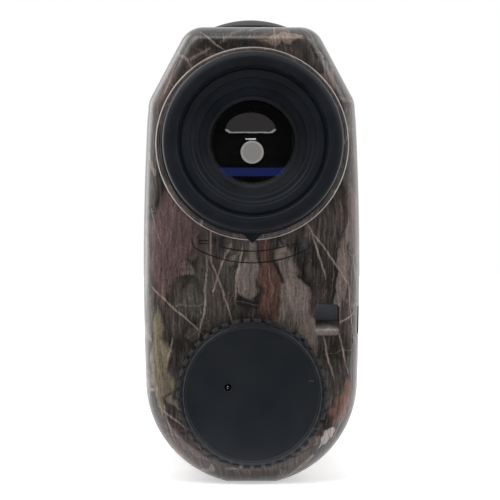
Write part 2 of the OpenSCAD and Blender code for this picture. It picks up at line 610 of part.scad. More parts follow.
module cap_o_ring() color([0.05, 0.05, 0.05]) o_ring(spigot_r - 0.26, 0.52, cap_face_y + 0.9, battery_z);
module contact_disc() color([0.8, 0.75, 0.6])
    rod(disc_r, rear_y + 0.6, rear_y + 0.6 + disc_t, battery_z);

// A conical spring, swept as one tube along its helix
coil_turns = 2.5;
coil_steps = 40;
coil_sides = 8;
coil_y0 = rear_y + 0.6 + disc_t + spring_wire;
coil_l = cell_back - 0.05 - spring_wire - coil_y0;
function coil_point(t, a) = let (r = 5.6 - 2.2 * t + spring_wire * cos(a), turn = 360 * coil_turns * t)
    [r * cos(turn), coil_y0 + coil_l * t + spring_wire * sin(a), battery_z + r * sin(turn)];
module contact_spring() color([0.82, 0.82, 0.84]) polyhedron(
    points = [for (i = [0:coil_steps], j = [0:coil_sides - 1]) coil_point(i / coil_steps, 360 * j / coil_sides)],
    faces = concat(
        [[for (j = [0:coil_sides - 1]) j]],
        [for (i = [0:coil_steps - 1], j = [0:coil_sides - 1]) let (k = (j + 1) % coil_sides)
            [i * coil_sides + j, (i + 1) * coil_sides + j, (i + 1) * coil_sides + k, i * coil_sides + k]],
        [[for (j = [coil_sides - 1:-1:0]) coil_steps * coil_sides + j]]));

rear_cover();
main_casing();
front_bezel();
rear_gasket();
front_gasket();
inner_frame();
cover_screws();
eyepiece_barrel();
ring_retainer();
eyecup();
diopter_ring();
ocular_cell();
cell_o_ring();
eye_lens();
field_lens();
ocular_spacer();
ocular_nut();
cam_pin();
display_frame();
display_panel();
display_flex();
prism_cage();
half_prism();
roof_prism();
cage_screws();
laser_diode();
laser_holder();
objective_tube();
objective_cell();
objective_crown();
objective_flint();
objective_nut();
receiver_lens();
receiver_nut();
receiver_cone();
receiver_filter();
photodiode();
receiver_board();
main_board();
processor_chip();
board_chips();
shield_can();
capacitors();
board_screws();
power_button();
button_seal();
switch_board();
tact_switch();
switch_plunger();
switch_flex();
battery_tube();
positive_contact();
battery_cell();
battery_cap();
cap_o_ring();
contact_disc();
contact_spring();
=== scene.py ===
import math
import bmesh
import bpy
from mathutils import Matrix, Vector


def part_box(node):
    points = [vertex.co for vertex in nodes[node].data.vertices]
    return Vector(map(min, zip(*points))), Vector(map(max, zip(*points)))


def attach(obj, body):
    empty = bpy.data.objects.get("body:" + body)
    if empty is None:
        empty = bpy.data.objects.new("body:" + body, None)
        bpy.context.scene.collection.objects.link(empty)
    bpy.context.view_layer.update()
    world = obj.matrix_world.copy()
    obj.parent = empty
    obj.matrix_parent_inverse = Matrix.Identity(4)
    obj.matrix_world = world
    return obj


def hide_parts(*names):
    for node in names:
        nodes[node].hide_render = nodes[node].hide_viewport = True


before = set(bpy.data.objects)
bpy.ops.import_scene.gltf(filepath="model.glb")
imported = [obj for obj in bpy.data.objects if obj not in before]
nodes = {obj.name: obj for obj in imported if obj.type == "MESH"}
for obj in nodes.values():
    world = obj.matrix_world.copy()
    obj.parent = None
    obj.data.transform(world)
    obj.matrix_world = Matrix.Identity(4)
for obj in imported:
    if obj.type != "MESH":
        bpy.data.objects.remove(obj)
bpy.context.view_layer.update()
mm = 0.001
print("frame loaded,", len(nodes), "parts")


# places taken from the frame, in millimetres
def lowOf(node, axis):
    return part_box(node)[0][axis] / mm


def highOf(node, axis):
    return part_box(node)[1][axis] / mm


def middleOf(node, axis):
    return (lowOf(node, axis) + highOf(node, axis)) / 2


rearY = lowOf("rear_cover", 1)
seamY = lowOf("rear_gasket", 1)
casingY = lowOf("main_casing", 1)
casingEndY = highOf("main_casing", 1)
bezelY = lowOf("front_bezel", 1)
axisZ = middleOf("ocular_cell", 2)
batteryZ = middleOf("cap_o_ring", 2)
receiverZ = middleOf("receiver_nut", 2)
bodyWidth = 2 * highOf("main_casing", 0)
bodyHeight = highOf("main_casing", 2)


# a signal is a socket of a shader tree that sums can be written with
class Signal:
    def __init__(self, socket):
        self.socket = socket

    def __add__(self, other):
        return maths("ADD", self, other)

    def __sub__(self, other):
        return maths("SUBTRACT", self, other)

    def __rsub__(self, other):
        return maths("SUBTRACT", other, self)

    def __mul__(self, other):
        return maths("MULTIPLY", self, other)

    def __truediv__(self, other):
        return maths("DIVIDE", self, other)

    def clamped(self):
        self.socket.node.use_clamp = True
        return self


def newMaterial(name):
    material = bpy.data.materials.new(name)
    material.use_nodes = True
    material.node_tree.nodes.clear()
    return material, material.node_tree


def feed(socket, value):
    if isinstance(value, Signal):
        value = value.socket
    if isinstance(value, bpy.types.NodeSocket):
        socket.id_data.links.new(value, socket)
    elif socket.type == "RGBA" and len(value) == 3:
        socket.default_value = (*value, 1)
    else:
        socket.default_value = value


def addNode(tree, kind, feeds=None, **settings):
    node = tree.nodes.new(kind)
    for key, value in settings.items():
        setattr(node, key, value)
    for key, value in (feeds or {}).items():
        feed(node.inputs[key], value)
    return node


def treeOf(*values):
    return next(value.socket.id_data for value in values if isinstance(value, Signal))


def maths(operation, a, b=0.0):
    node = addNode(treeOf(a, b), "ShaderNodeMath", {0: a, 1: b}, operation=operation)
    return Signal(node.outputs[0])


def vectorMaths(operation, a, b=(0.0, 0.0, 0.0)):
    node = addNode(treeOf(a), "ShaderNodeVectorMath", {0: a, 1: b}, operation=operation)
    return Signal(node.outputs["Value" if operation == "LENGTH" else "Vector"])


def mixColours(share, a, b, blend="MIX"):
    feeds = {0: share, 6: a, 7: b}
    node = addNode(treeOf(share, a), "ShaderNodeMix", feeds, data_type="RGBA", blend_type=blend)
    return Signal(node.outputs[2])


def noiseOf(vector, scale, detail=3.0, rough=0.5, flat=False, output="Fac"):
    feeds = {"Vector": vector, "Scale": scale, "Detail": detail, "Roughness": rough}
    node = addNode(treeOf(vector), "ShaderNodeTexNoise", feeds, noise_dimensions="2D" if flat else "3D")
    return Signal(node.outputs[output])


def rampOf(value, stops, interpolation="LINEAR"):
    node = addNode(treeOf(value), "ShaderNodeValToRGB", {0: value})
    ramp = node.color_ramp
    ramp.interpolation = interpolation
    while len(ramp.elements) < len(stops):
        ramp.elements.new(0.5)
    for element, (place, colour) in zip(ramp.elements, stops):
        element.position = place
        element.color = (*colour, 1)
    return Signal(node.outputs[0])


def turnedBy(vector, angle, centre=(0, 0, 0)):
    feeds = {"Vector": vector, "Angle": angle, "Center": centre}
    node = addNode(treeOf(vector), "ShaderNodeVectorRotate", feeds, rotation_type="Z_AXIS")
    return Signal(node.outputs[0])


def stretched(vector, scale, shift=(0, 0, 0)):
    node = addNode(treeOf(vector), "ShaderNodeMapping", {"Vector": vector, "Scale": scale, "Location": shift})
    return Signal(node.outputs[0])


def objectPlace(tree):
    place = addNode(tree, "ShaderNodeTexCoord").outputs["Object"]
    return stretched(Signal(place), (1 / mm, 1 / mm, 1 / mm))


def attributeOf(tree, name):
    return Signal(addNode(tree, "ShaderNodeAttribute", attribute_name=name).outputs["Fac"])


def finishSurface(tree, colour, roughness, height, bump, settings):
    # a bump of 0 leaves the surface as smooth as its mesh
    feeds = {"Base Color": colour, "Roughness": roughness, **settings}
    shader = addNode(tree, "ShaderNodeBsdfPrincipled", feeds)
    if bump > 0:
        lift = addNode(tree, "ShaderNodeBump", {"Strength": bump, "Distance": 0.05 * mm, "Height": height})
        feed(shader.inputs["Normal"], lift.outputs[0])
    addNode(tree, "ShaderNodeOutputMaterial", {0: shader.outputs[0]})
    return shader


# one finish for each kind of moulded, turned or plated surface:
# dark and light tone, roughness, grains in a millimetre, bump, and where they differ, metal and shine
finishes = {
    "bezelPlastic": ((0.01, 0.011, 0.013), (0.022, 0.023, 0.026), 0.42, 5.0, 0.35),
    "gasketRubber": ((0.008, 0.008, 0.009), (0.018, 0.018, 0.019), 0.7, 6.0, 0.3),
    "cupRubber": ((0.006, 0.0078, 0.0115), (0.011, 0.0138, 0.019), 0.46, 7.0, 0.3, 0.0, 0.22),
    "capPlastic": ((0.0085, 0.0112, 0.016), (0.012, 0.0152, 0.021), 0.42, 9.0, 0.18),
    # the cap plastic again, painted lighter for the raised teeth and tick: painted light
    "toothPlastic": ((0.024, 0.023, 0.026), (0.052, 0.049, 0.054), 0.42, 2.0, 0.25),
    "lensEdge": ((0.012, 0.014, 0.018), (0.022, 0.025, 0.03), 0.38, 5.0, 0.05),
    "buttonRubber": ((0.01, 0.0105, 0.012), (0.018, 0.0185, 0.02), 0.5, 7.0, 0.3, 0.0, 0.22),
    "recessPlastic": ((0.105, 0.118, 0.145), (0.17, 0.185, 0.22), 0.5, 3.0, 0.3),
    "scalePaint": ((0.004, 0.004, 0.004), (0.012, 0.011, 0.01), 0.6, 5.0, 0.2),
    "framePlastic": ((0.03, 0.031, 0.034), (0.05, 0.051, 0.055), 0.5, 4.0, 0.3),
    "blackMetal": ((0.01, 0.01, 0.011), (0.022, 0.022, 0.024), 0.34, 8.0, 0.15, 0.6),
    "steel": ((0.42, 0.42, 0.43), (0.6, 0.6, 0.61), 0.28, 6.0, 0.2, 1.0),
    "castMetal": ((0.28, 0.28, 0.29), (0.42, 0.42, 0.43), 0.45, 5.0, 0.4, 1.0),
    "goldCan": ((0.62, 0.42, 0.14), (0.8, 0.58, 0.24), 0.24, 6.0, 0.15, 1.0),
    "springPlate": ((0.6, 0.5, 0.32), (0.75, 0.66, 0.46), 0.3, 6.0, 0.2, 1.0),
    "boardLaminate": ((0.008, 0.06, 0.026), (0.02, 0.115, 0.05), 0.38, 2.2, 0.25),
    "chipResin": ((0.012, 0.012, 0.013), (0.026, 0.026, 0.028), 0.6, 9.0, 0.3),
    "chipCeramic": ((0.3, 0.2, 0.11), (0.45, 0.33, 0.2), 0.4, 7.0, 0.2),
    "flexFilm": ((0.38, 0.16, 0.02), (0.55, 0.26, 0.05), 0.26, 2.5, 0.2),
    "plungerPlastic": ((0.48, 0.4, 0.27), (0.62, 0.54, 0.4), 0.45, 6.0, 0.2),
    "panelGlass": ((0.002, 0.002, 0.003), (0.004, 0.004, 0.005), 0.25, 3.0, 0.05),
    "cellWrap": ((0.045, 0.047, 0.052), (0.085, 0.088, 0.094), 0.3, 1.5, 0.15),
}


def plainFinish(name, dark, light, rough, grain, bump, metal=0.0, shine=0.5):
    material, tree = newMaterial(name)
    place = objectPlace(tree)
    broad = noiseOf(place, 0.22, 3.0)
    fine = noiseOf(place, grain, 4.0, 0.6)
    share = (fine * 0.45 + broad * 0.55).clamped()
    colour = rampOf(share, [(0.32, dark), (0.68, light)])
    finishSurface(tree, colour, broad * 0.16 + (rough - 0.08), fine, bump,
                  {"Metallic": metal, "Specular IOR Level": shine})
    return material


materials = {name: plainFinish(name, *row) for name, row in finishes.items()}

# coated glass: tint, refraction, the tint and index of its coating, and how much of it lies on the outer face
glassKinds = {
    "eyeGlass": ((0.97, 0.98, 1.0), 1.03, (0.92, 0.94, 1.0), 3.0, 1.0),
    "objectiveGlass": ((0.90, 1.0, 0.95), 1.45, (0.45, 0.85, 0.60), 1.5, 0.5),
    "prismGlass": ((0.93, 0.98, 0.96), 1.45, (0.9, 0.95, 1.0), 1.5, 0.2),
    "receiverGlass": ((0.55, 0.12, 0.16), 1.45, (1.0, 0.45, 0.50), 1.5, 0.5),
}


def glassFinish(name, tint, bend, coat, coatBend, sheen):
    # the mirror coat lies on the outer face only, told by the attribute that each lens carries
    material, tree = newMaterial(name)
    cloud = noiseOf(objectPlace(tree), 0.12, 2.0)
    colour = mixColours(cloud, tint, tuple(0.93 * channel for channel in tint))
    settings = {"IOR": bend, "Transmission Weight": 1.0, "Coat IOR": coatBend, "Coat Roughness": 0.0,
                "Specular Tint": coat, "Coat Weight": attributeOf(tree, "outer") * sheen}
    finishSurface(tree, colour, cloud * 0.02, cloud, 0, settings)
    return material


materials.update({name: glassFinish(name, *row) for name, row in glassKinds.items()})


# the printed shell: layers of leaves, bark and twigs over a mottled ground, in millimetres on its surface
camo = {
    "ground": [(0.30, (0.009, 0.0075, 0.007)), (0.42, (0.032, 0.026, 0.023)), (0.54, (0.062, 0.050, 0.043)),
               (0.66, (0.108, 0.090, 0.079)), (0.80, (0.185, 0.158, 0.140))],
    "leafColours": [(0.00, (0.098, 0.066, 0.060)), (0.20, (0.064, 0.055, 0.045)),
                    (0.38, (0.088, 0.048, 0.036)), (0.50, (0.018, 0.015, 0.014)),
                    (0.64, (0.170, 0.138, 0.118)), (0.78, (0.056, 0.038, 0.036)),
                    (0.92, (0.098, 0.090, 0.064))],
    # spacing, length, half width, share of places that hold a leaf, shift
    "leafLayers": [
        (15.0, 9.5, 3.9, 0.5, (3.1, 7.7, 0)),
        (9.0, 6.5, 1.8, 0.45, (41.3, 12.9, 0)),
        (5.5, 3.9, 0.8, 0.4, (83.7, 55.1, 0)),
    ],
    # place across and up, turn in degrees, length, half width, colour
    "placedLeaves": [
        (-13.0, 38.0, 8, 11.0, 4.4, (0.128, 0.076, 0.07)),
        (-6.0, 31.5, -12, 9.0, 3.0, (0.062, 0.05, 0.043)),
        (-14.6, 19.0, -3, 9.0, 2.4, (0.2, 0.166, 0.108)),
        (2.6, 31.0, 0, 8.5, 2.1, (0.112, 0.048, 0.034)),
        (7.4, 28.5, -16, 10.0, 2.3, (0.18, 0.14, 0.122)),
        (12.6, 30.0, 6, 8.0, 1.3, (0.022, 0.018, 0.018)),
        (14.4, 33.5, 3, 9.0, 1.2, (0.17, 0.128, 0.112)),
        (14.4, 12.8, 14, 4.2, 2.2, (0.17, 0.084, 0.062)),
        (13.8, 20.6, 80, 3.4, 1.5, (0.03, 0.022, 0.016)),
        (-11.8, 61.0, -28, 8.0, 2.4, (0.09, 0.054, 0.045)),
        (5.2, 70.2, 84, 3.8, 1.3, (0.24, 0.175, 0.14)),
        (11.4, 63.0, 42, 5.0, 1.8, (0.15, 0.1, 0.085)),
        (12.2, 6.6, 44, 2.6, 1.3, (0.38, 0.34, 0.31)),
        (-9.6, 5.6, -50, 4.6, 1.4, (0.1, 0.07, 0.066)),
    ],
    # from and to, each across and up
    "placedTwigs": [
        (-6.8, 40.0, -6.2, 34.5), (-6.4, 35.0, -2.9, 25.4), (-6.9, 34.0, -8.2, 23.6),
        (-16.0, 30.5, -8.3, 24.2), (8.8, 40.0, 15.5, 31.0), (15.3, 31.5, 16.8, 23.8),
        (9.4, 38.6, 11.2, 33.0), (-8.0, 71.2, -4.8, 68.4), (11.2, 22.8, 12.6, 16.4),
        (12.0, 24.0, 16.6, 26.6), (-1.6, 37.5, -2.4, 29.5), (-14.6, 12.0, -10.4, 8.6),
    ],
    "twigHalfWidth": 0.15,
    "twigColour": (0.270, 0.205, 0.180),
    "twigSpacing": 15.0,
    "twigWidth": 0.10,
    "strokes": (0.200, 0.165, 0.145),
    "gaps": (0.16, 0.145, 0.14),
    # the lighter tone that a piece's attribute mixes in: painted light on the eyelet ramp, and the diopter
    # ring's lighter lips
    "lightening": (0.330, 0.285, 0.275),
    "bark": [(0.30, (0.38, 0.37, 0.37)), (0.50, (0.90, 0.90, 0.90)), (0.70, (1.55, 1.52, 1.48))],
    "weave": [(0.30, (0.62, 0.62, 0.62)), (0.70, (1.30, 1.30, 1.30))],
}


def leafGroup():
    # one leaf about the middle of its place: its shape, its veins, its shadow and its darker half
    tree = bpy.data.node_groups.new("leafShape", "ShaderNodeTree")
    for name, kind in (("Place", "Vector"), ("Angle", "Float"), ("Length", "Float"), ("Width", "Float")):
        tree.interface.new_socket(name, in_out="INPUT", socket_type="NodeSocket" + kind)
    given = addNode(tree, "NodeGroupInput").outputs
    width = Signal(given["Width"])
    local = turnedBy(Signal(given["Place"]), given["Angle"])
    parts = addNode(tree, "ShaderNodeSeparateXYZ", {0: local}).outputs
    x, y = Signal(parts[0]), Signal(parts[1])
    across = maths("ABSOLUTE", x)
    along = y / given["Length"]
    taper = 1.0 - maths("POWER", maths("ABSOLUTE", along), 2.2)
    lobes = maths("SINE", along * 11.0) * 0.14 + 0.86
    inside = width * taper * lobes - across
    soft = width * 0.20 + 0.06
    middle = (1.0 - across / 0.13).clamped()
    saw = maths("FRACT", (y - across * 1.15) / 1.35)
    side = (1.0 - saw / 0.13).clamped()
    results = {
        "Shape": (inside / soft).clamped(),
        "Vein": maths("MAXIMUM", middle, side * 0.55),
        "Shadow": ((inside + soft) / (soft * 1.6)).clamped(),
        "Half": maths("GREATER_THAN", x, 0.0),
    }
    for name in results:
        tree.interface.new_socket(name, in_out="OUTPUT", socket_type="NodeSocketFloat")
    addNode(tree, "NodeGroupOutput", results)
    return tree


def layLeaf(below, group, place, angle, length, width, colour, kept):
    feeds = {"Place": place, "Angle": angle, "Length": length, "Width": width}
    leaf = addNode(treeOf(below), "ShaderNodeGroup", feeds, node_tree=group)
    shape, vein, shadow, half = [Signal(socket) for socket in leaf.outputs]
    shaded = mixColours(shadow * (kept * 0.45), below, (0.25, 0.23, 0.22), "MULTIPLY")
    lit = mixColours(half * 0.28, colour, (0.60, 0.58, 0.58), "MULTIPLY")
    veined = mixColours(vein * 0.30, lit, (0.30, 0.25, 0.22))
    return mixColours(shape * kept, shaded, veined)


def camoFinish(name):
    material, tree = newMaterial(name)
    uv = Signal(addNode(tree, "ShaderNodeUVMap", uv_map="camo").outputs[0])
    flat = stretched(uv, (100, 100, 0))
    wander = vectorMaths("SUBTRACT", noiseOf(flat, 0.16, flat=True, output="Color"), (0.5, 0.5, 0.5))
    bent = vectorMaths("ADD", flat, vectorMaths("MULTIPLY", wander, (3.6, 3.6, 0)))
    gentle = vectorMaths("ADD", flat, vectorMaths("MULTIPLY", wander, (1.5, 1.5, 0)))
    bark = noiseOf(stretched(gentle, (2.4, 0.22, 1)), 1.0, 6.0, 0.66, flat=True)
    mottle = noiseOf(stretched(bent, (0.17, 0.11, 1)), 1.0, 4.0, 0.55, flat=True)
    weave = noiseOf(flat, 2.4, 5.0, 0.7, flat=True)
    colour = rampOf(bark * 0.42 + mottle * 0.58, camo["ground"])
    group = leafGroup()
    for spacing, length, width, share, shift in camo["leafLayers"]:
        size = 1 / spacing
        scaled = stretched(bent, (size, size, 0), tuple(size * s for s in shift))
        feeds = {"Vector": scaled, "Scale": 1.0}
        cells = addNode(tree, "ShaderNodeTexVoronoi", feeds, voronoi_dimensions="2D")
        local = vectorMaths("SUBTRACT", scaled, cells.outputs["Position"])
        local = vectorMaths("MULTIPLY", local, (spacing, spacing, 0))
        drawn = addNode(tree, "ShaderNodeSeparateColor", {0: cells.outputs["Color"]}).outputs
        turn, chance, tone = [Signal(socket) for socket in drawn]
        kept = maths("LESS_THAN", chance, share)
        tone = rampOf(tone, camo["leafColours"], "CONSTANT")
        colour = layLeaf(colour, group, local, (turn - 0.5) * 3.4, length, width, tone, kept)
    for x, z, angle, length, width, tone in camo["placedLeaves"]:
        local = vectorMaths("SUBTRACT", bent, (x, z, 0))
        colour = layLeaf(colour, group, local, math.radians(angle), length, width, tone, 1.0)
    drawn = 0.0
    for x0, z0, x1, z1 in camo["placedTwigs"]:
        middle = ((x0 + x1) / 2, (z0 + z1) / 2, 0)
        local = vectorMaths("SUBTRACT", turnedBy(gentle, math.atan2(x1 - x0, z1 - z0), middle), middle)
        size = (1 / camo["twigHalfWidth"], 2 / (math.hypot(x1 - x0, z1 - z0) + 0.8), 0)
        far = vectorMaths("LENGTH", vectorMaths("MULTIPLY", local, size))
        drawn = maths("MAXIMUM", drawn, 1.3 - far)
    drawn = (drawn * 2.2).clamped()
    colour = mixColours(drawn * 0.85, colour, camo["twigColour"])
    spacing = camo["twigSpacing"]
    feeds = {"Vector": stretched(gentle, (1.3 / spacing, 0.6 / spacing, 0)), "Scale": 1.0}
    twigs = addNode(tree, "ShaderNodeTexVoronoi", feeds, voronoi_dimensions="2D", feature="DISTANCE_TO_EDGE")
    line = (2.0 - Signal(twigs.outputs["Distance"]) / (camo["twigWidth"] / spacing)).clamped()
    reach = maths("GREATER_THAN", noiseOf(flat, 0.085, 1.0, flat=True), 0.55)
    colour = mixColours(line * (reach * 0.7), colour, camo["twigColour"])
    fibre = noiseOf(stretched(gentle, (4.2, 0.50, 1), (3.3, 8.1, 0)), 1.0, 4.0, 0.7, flat=True)
    patch = noiseOf(flat, 0.13, 2.0, flat=True)
    bright = ((fibre - 0.60) * 14.0).clamped() * ((patch - 0.42) * 3.4).clamped()
    colour = mixColours(bright, colour, camo["strokes"])
    deep = ((0.43 - fibre) * 12.0).clamped() * ((0.60 - patch) * 4.0).clamped()
    colour = mixColours(deep, colour, camo["gaps"], "MULTIPLY")
    colour = mixColours(0.75, colour, rampOf(bark, camo["bark"]), "MULTIPLY")
    colour = mixColours(0.75, colour, rampOf(weave, camo["weave"]), "MULTIPLY")
    # a lighter tone where a piece's attribute asks for it: painted light on the eyelet ramp, and the lighter
    # lips of the diopter ring
    lightenedShare = (attributeOf(tree, "wear") * (weave + 0.45)).clamped()
    colour = mixColours(lightenedShare, colour, camo["lightening"])
    finishSurface(tree, colour, weave * 0.16 + 0.36, weave, 0.12,
                  {"Coat Weight": 0.6, "Coat Roughness": 0.16, "Specular IOR Level": 0.4})
    return material


materials["camoPrint"] = camoFinish("camoPrint")
print("finishes made,", len(materials))


# mesh helpers, all in millimetres
def meshOf(name, points, faces, material="framePlastic", sharp=35):
    mesh = bpy.data.meshes.new(name)
    mesh.from_pydata([Vector(p) * mm for p in points], [], faces)
    return tidyMesh(name, mesh, material, sharp)


def tidyMesh(name, mesh, material, sharp=35):
    work = bmesh.new()
    work.from_mesh(mesh)
    bmesh.ops.remove_doubles(work, verts=work.verts, dist=1e-7)
    bmesh.ops.dissolve_degenerate(work, edges=work.edges, dist=1e-8)
    bmesh.ops.recalc_face_normals(work, faces=work.faces)
    work.to_mesh(mesh)
    work.free()
    mesh.materials.clear()
    mesh.materials.append(materials[material])
    for polygon in mesh.polygons:
        polygon.use_smooth = True
        polygon.material_index = 0
    mesh.set_sharp_from_angle(angle=math.radians(sharp))
    piece = bpy.data.objects.new(name, mesh)
    bpy.context.scene.collection.objects.link(piece)
    return piece


def filleted(corners, steps=4):
    # corners are (radius, y, fillet); each fillet becomes a short arc
    path = []
    count = len(corners)
    for i, (x, y, fillet) in enumerate(corners):
        here = Vector((x, y))
        if fillet == 0:
            path.append((x, y))
            continue
        before = Vector(corners[i - 1][:2]) - here
        after = Vector(corners[(i + 1) % count][:2]) - here
        reach = min(fillet, 0.48 * before.length, 0.48 * after.length)
        start, end = here + before.normalized() * reach, here + after.normalized() * reach
        for k in range(steps + 1):
            t = k / steps
            point = (1 - t) ** 2 * start + 2 * t * (1 - t) * here + t * t * end
            path.append((point.x, point.y))
    return path


def tubeFaces(count, rings, closed=False):
    # faces between rings of points; both ends are capped unless the last ring joins the first
    faces = []
    for k in range(rings if closed else rings - 1):
        near, far = k * count, (k + 1) % rings * count
        faces += [(near + i, near + (i + 1) % count, far + (i + 1) % count, far + i) for i in range(count)]
    if not closed:
        faces += [tuple(reversed(range(count))), tuple(range((rings - 1) * count, rings * count))]
    return faces


def turned(name, corners, centreZ, material="framePlastic", steps=144, centreX=0.0, sharp=35):
    path = filleted(corners)
    points = []
    for k in range(steps):
        a = 2 * math.pi * k / steps
        points += [(centreX + r * math.sin(a), y, centreZ + r * math.cos(a)) for r, y in path]
    return meshOf(name, points, tubeFaces(len(path), steps, True), material, sharp)


def asMesh(piece):
    # what the modifiers make of a piece; the piece itself goes
    bpy.context.view_layer.update()
    made = bpy.data.meshes.new_from_object(piece.evaluated_get(bpy.context.evaluated_depsgraph_get()))
    bpy.data.objects.remove(piece)
    return made


def combined(piece, tools, operation="DIFFERENCE"):
    name, material = piece.name, piece.data.materials[0].name
    for tool in tools:
        join = piece.modifiers.new("join", "BOOLEAN")
        join.operation = operation
        join.solver = "EXACT"
        join.object = tool
    made = asMesh(piece)
    for tool in tools:
        bpy.data.objects.remove(tool)
    return tidyMesh(name, made, material)


def settle(piece, body, slot, *stoodFor):
    if stoodFor:
        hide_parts(*stoodFor)
    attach(piece, body)
    return piece


# the outline of the housing, and the way it draws in towards its rounded ends
housing = {
    "wall": 1.6,
    "sideBow": 0.75,
    "widestZ": 34.0,
    "bellyZ": 16.0,
    "footLift": 0.45,
    "shoulderHeight": 11.9,
    "shoulderLean": 28.0,
    "shoulderRound": 4.0,
    "topRound": 4.0,
    "rearRound": (2.8, 4.2),
    "frontRound": (2.8, 4.8),
    "edgeBreak": 0.12,
    "gasketInset": 0.22,
}


def outline():
    h = housing
    shoulderZ = bodyHeight - h["shoulderHeight"]
    lean = math.radians(h["shoulderLean"])

    def halfWidth(z):
        return bodyWidth / 2 - h["sideBow"] * ((z - h["widestZ"]) / (shoulderZ - h["widestZ"])) ** 2

    def arc(x, z, radius, start, end, steps):
        turns = [start + (end - start) * i / steps for i in range(steps + 1)]
        return [(x + radius * math.cos(a), z + radius * math.sin(a)) for a in turns]

    belly, drop = h["bellyZ"], h["bellyZ"] + h["footLift"]
    footAngle = math.acos(belly / drop)
    right = []
    for i in range(31):
        a = footAngle + (math.pi / 2 - footAngle) * i / 30
        right.append((halfWidth(belly) * math.sin(a), belly - drop * math.cos(a)))
    shoulderX = halfWidth(shoulderZ)
    tangent = h["shoulderRound"] * math.tan(lean / 2)
    for i in range(1, 20):
        z = belly + (shoulderZ - tangent - belly) * i / 20
        right.append((halfWidth(z), z))
    right += arc(shoulderX - h["shoulderRound"], shoulderZ - tangent, h["shoulderRound"], 0, lean, 6)
    topX = shoulderX - h["shoulderHeight"] * math.tan(lean)
    topTangent = h["topRound"] * math.tan((math.pi / 2 - lean) / 2)
    right += arc(topX - topTangent, bodyHeight - h["topRound"], h["topRound"], lean, math.pi / 2, 10)
    return right + [(-x, z) for x, z in reversed(right)]


wholeOutline = outline()


def drawnIn(inset):
    count = len(wholeOutline)
    ring = []
    for i, (x, z) in enumerate(wholeOutline):
        nextX, nextZ = wholeOutline[(i + 1) % count]
        lastX, lastZ = wholeOutline[i - 1]
        along = Vector((nextX - lastX, nextZ - lastZ)).normalized()
        ring.append((x - inset * along.y, z + inset * along.x))
    return ring


def endInset(distance, rounding):
    if distance >= rounding[1]:
        return 0.0
    return rounding[0] * (1 - math.sqrt(max(0.0, 1 - (1 - distance / rounding[1]) ** 2)))


def loft(name, rings, closed=False, material="framePlastic"):
    # rings are (y, inset) of the outline
    points = [(x, y, z) for y, inset in rings for x, z in drawnIn(inset)]
    return meshOf(name, points, tubeFaces(len(wholeOutline), len(rings), closed), material)


def block(name, x, y, z, rounding=0.0, steps=6):
    # a box with its four edges along Y rounded; x, y and z are (low, high)
    path = []
    for cornerX, cornerZ, start in ((x[1], z[1], 0), (x[0], z[1], 90), (x[0], z[0], 180), (x[1], z[0], 270)):
        centreX = cornerX - math.copysign(rounding, cornerX - sum(x) / 2)
        centreZ = cornerZ - math.copysign(rounding, cornerZ - sum(z) / 2)
        for k in range(steps + 1):
            a = math.radians(start + 90 * k / steps)
            path.append((centreX + rounding * math.cos(a), centreZ + rounding * math.sin(a)))
    points = [(px, py, pz) for py in y for px, pz in path]
    return meshOf(name, points, tubeFaces(len(path), 2))


# where a point of a printed piece lies in the print, unrolled so that the leaves keep their shape
def spreadBack(point, lowZ=16.0, highZ=56.0, shift=(0.0, 0.0)):
    x, y, z = point / mm
    outward = Vector((x, z - min(max(z, lowZ), highZ)))
    if outward.length > 0.01:
        outward.normalize()
    depth = y - rearY
    return (x + outward.x * depth + shift[0], z + outward.y * depth + shift[1])


def spreadRing(point):
    return spreadBack(point, axisZ, axisZ, (46.0, 8.0))


girth = [0.0]
for (x0, z0), (x1, z1) in zip(wholeOutline, wholeOutline[1:] + wholeOutline[:1]):
    girth.append(girth[-1] + math.hypot(x1 - x0, z1 - z0))


def spreadSide(point):
    x, y, z = point / mm
    away = [math.hypot(px - x, pz - z) for px, pz in wholeOutline]
    return (y + 140.0, girth[away.index(min(away))] + 20.0)


def printOn(piece, spread, wearAt=None):
    layer = piece.data.uv_layers.get("camo") or piece.data.uv_layers.new(name="camo")
    found = [spread(v.co) for v in piece.data.vertices]
    for polygon in piece.data.polygons:
        for corner in polygon.loop_indices:
            u, v = found[piece.data.loops[corner].vertex_index]
            layer.data[corner].uv = (u / 100, v / 100)
    for other in [l for l in piece.data.uv_layers if l.name != "camo"]:
        piece.data.uv_layers.remove(other)
    lightening = piece.data.attributes.new("wear", "FLOAT", "POINT")
    lightening.data.foreach_set("value", [wearAt(v.co) if wearAt else 0.0 for v in piece.data.vertices])
    return piece


# rear cover: the printed end shell with the eyepiece seat, the battery mouth and the lanyard eyelet
cover = {
    "seatRadius": 11.62,
    "mouthRadius": 10.61,
    "backWall": 1.8,
    "eyeletAcross": (9.92, 13.72),
    "eyeletUp": (23.15, 28.05),
    "eyeletDepth": 4.9,
    "eyeletPost": 2.1,
    "eyeletRound": 0.7,
    "eyeletWall": 1.2,
    "roundSteps": 12,
}


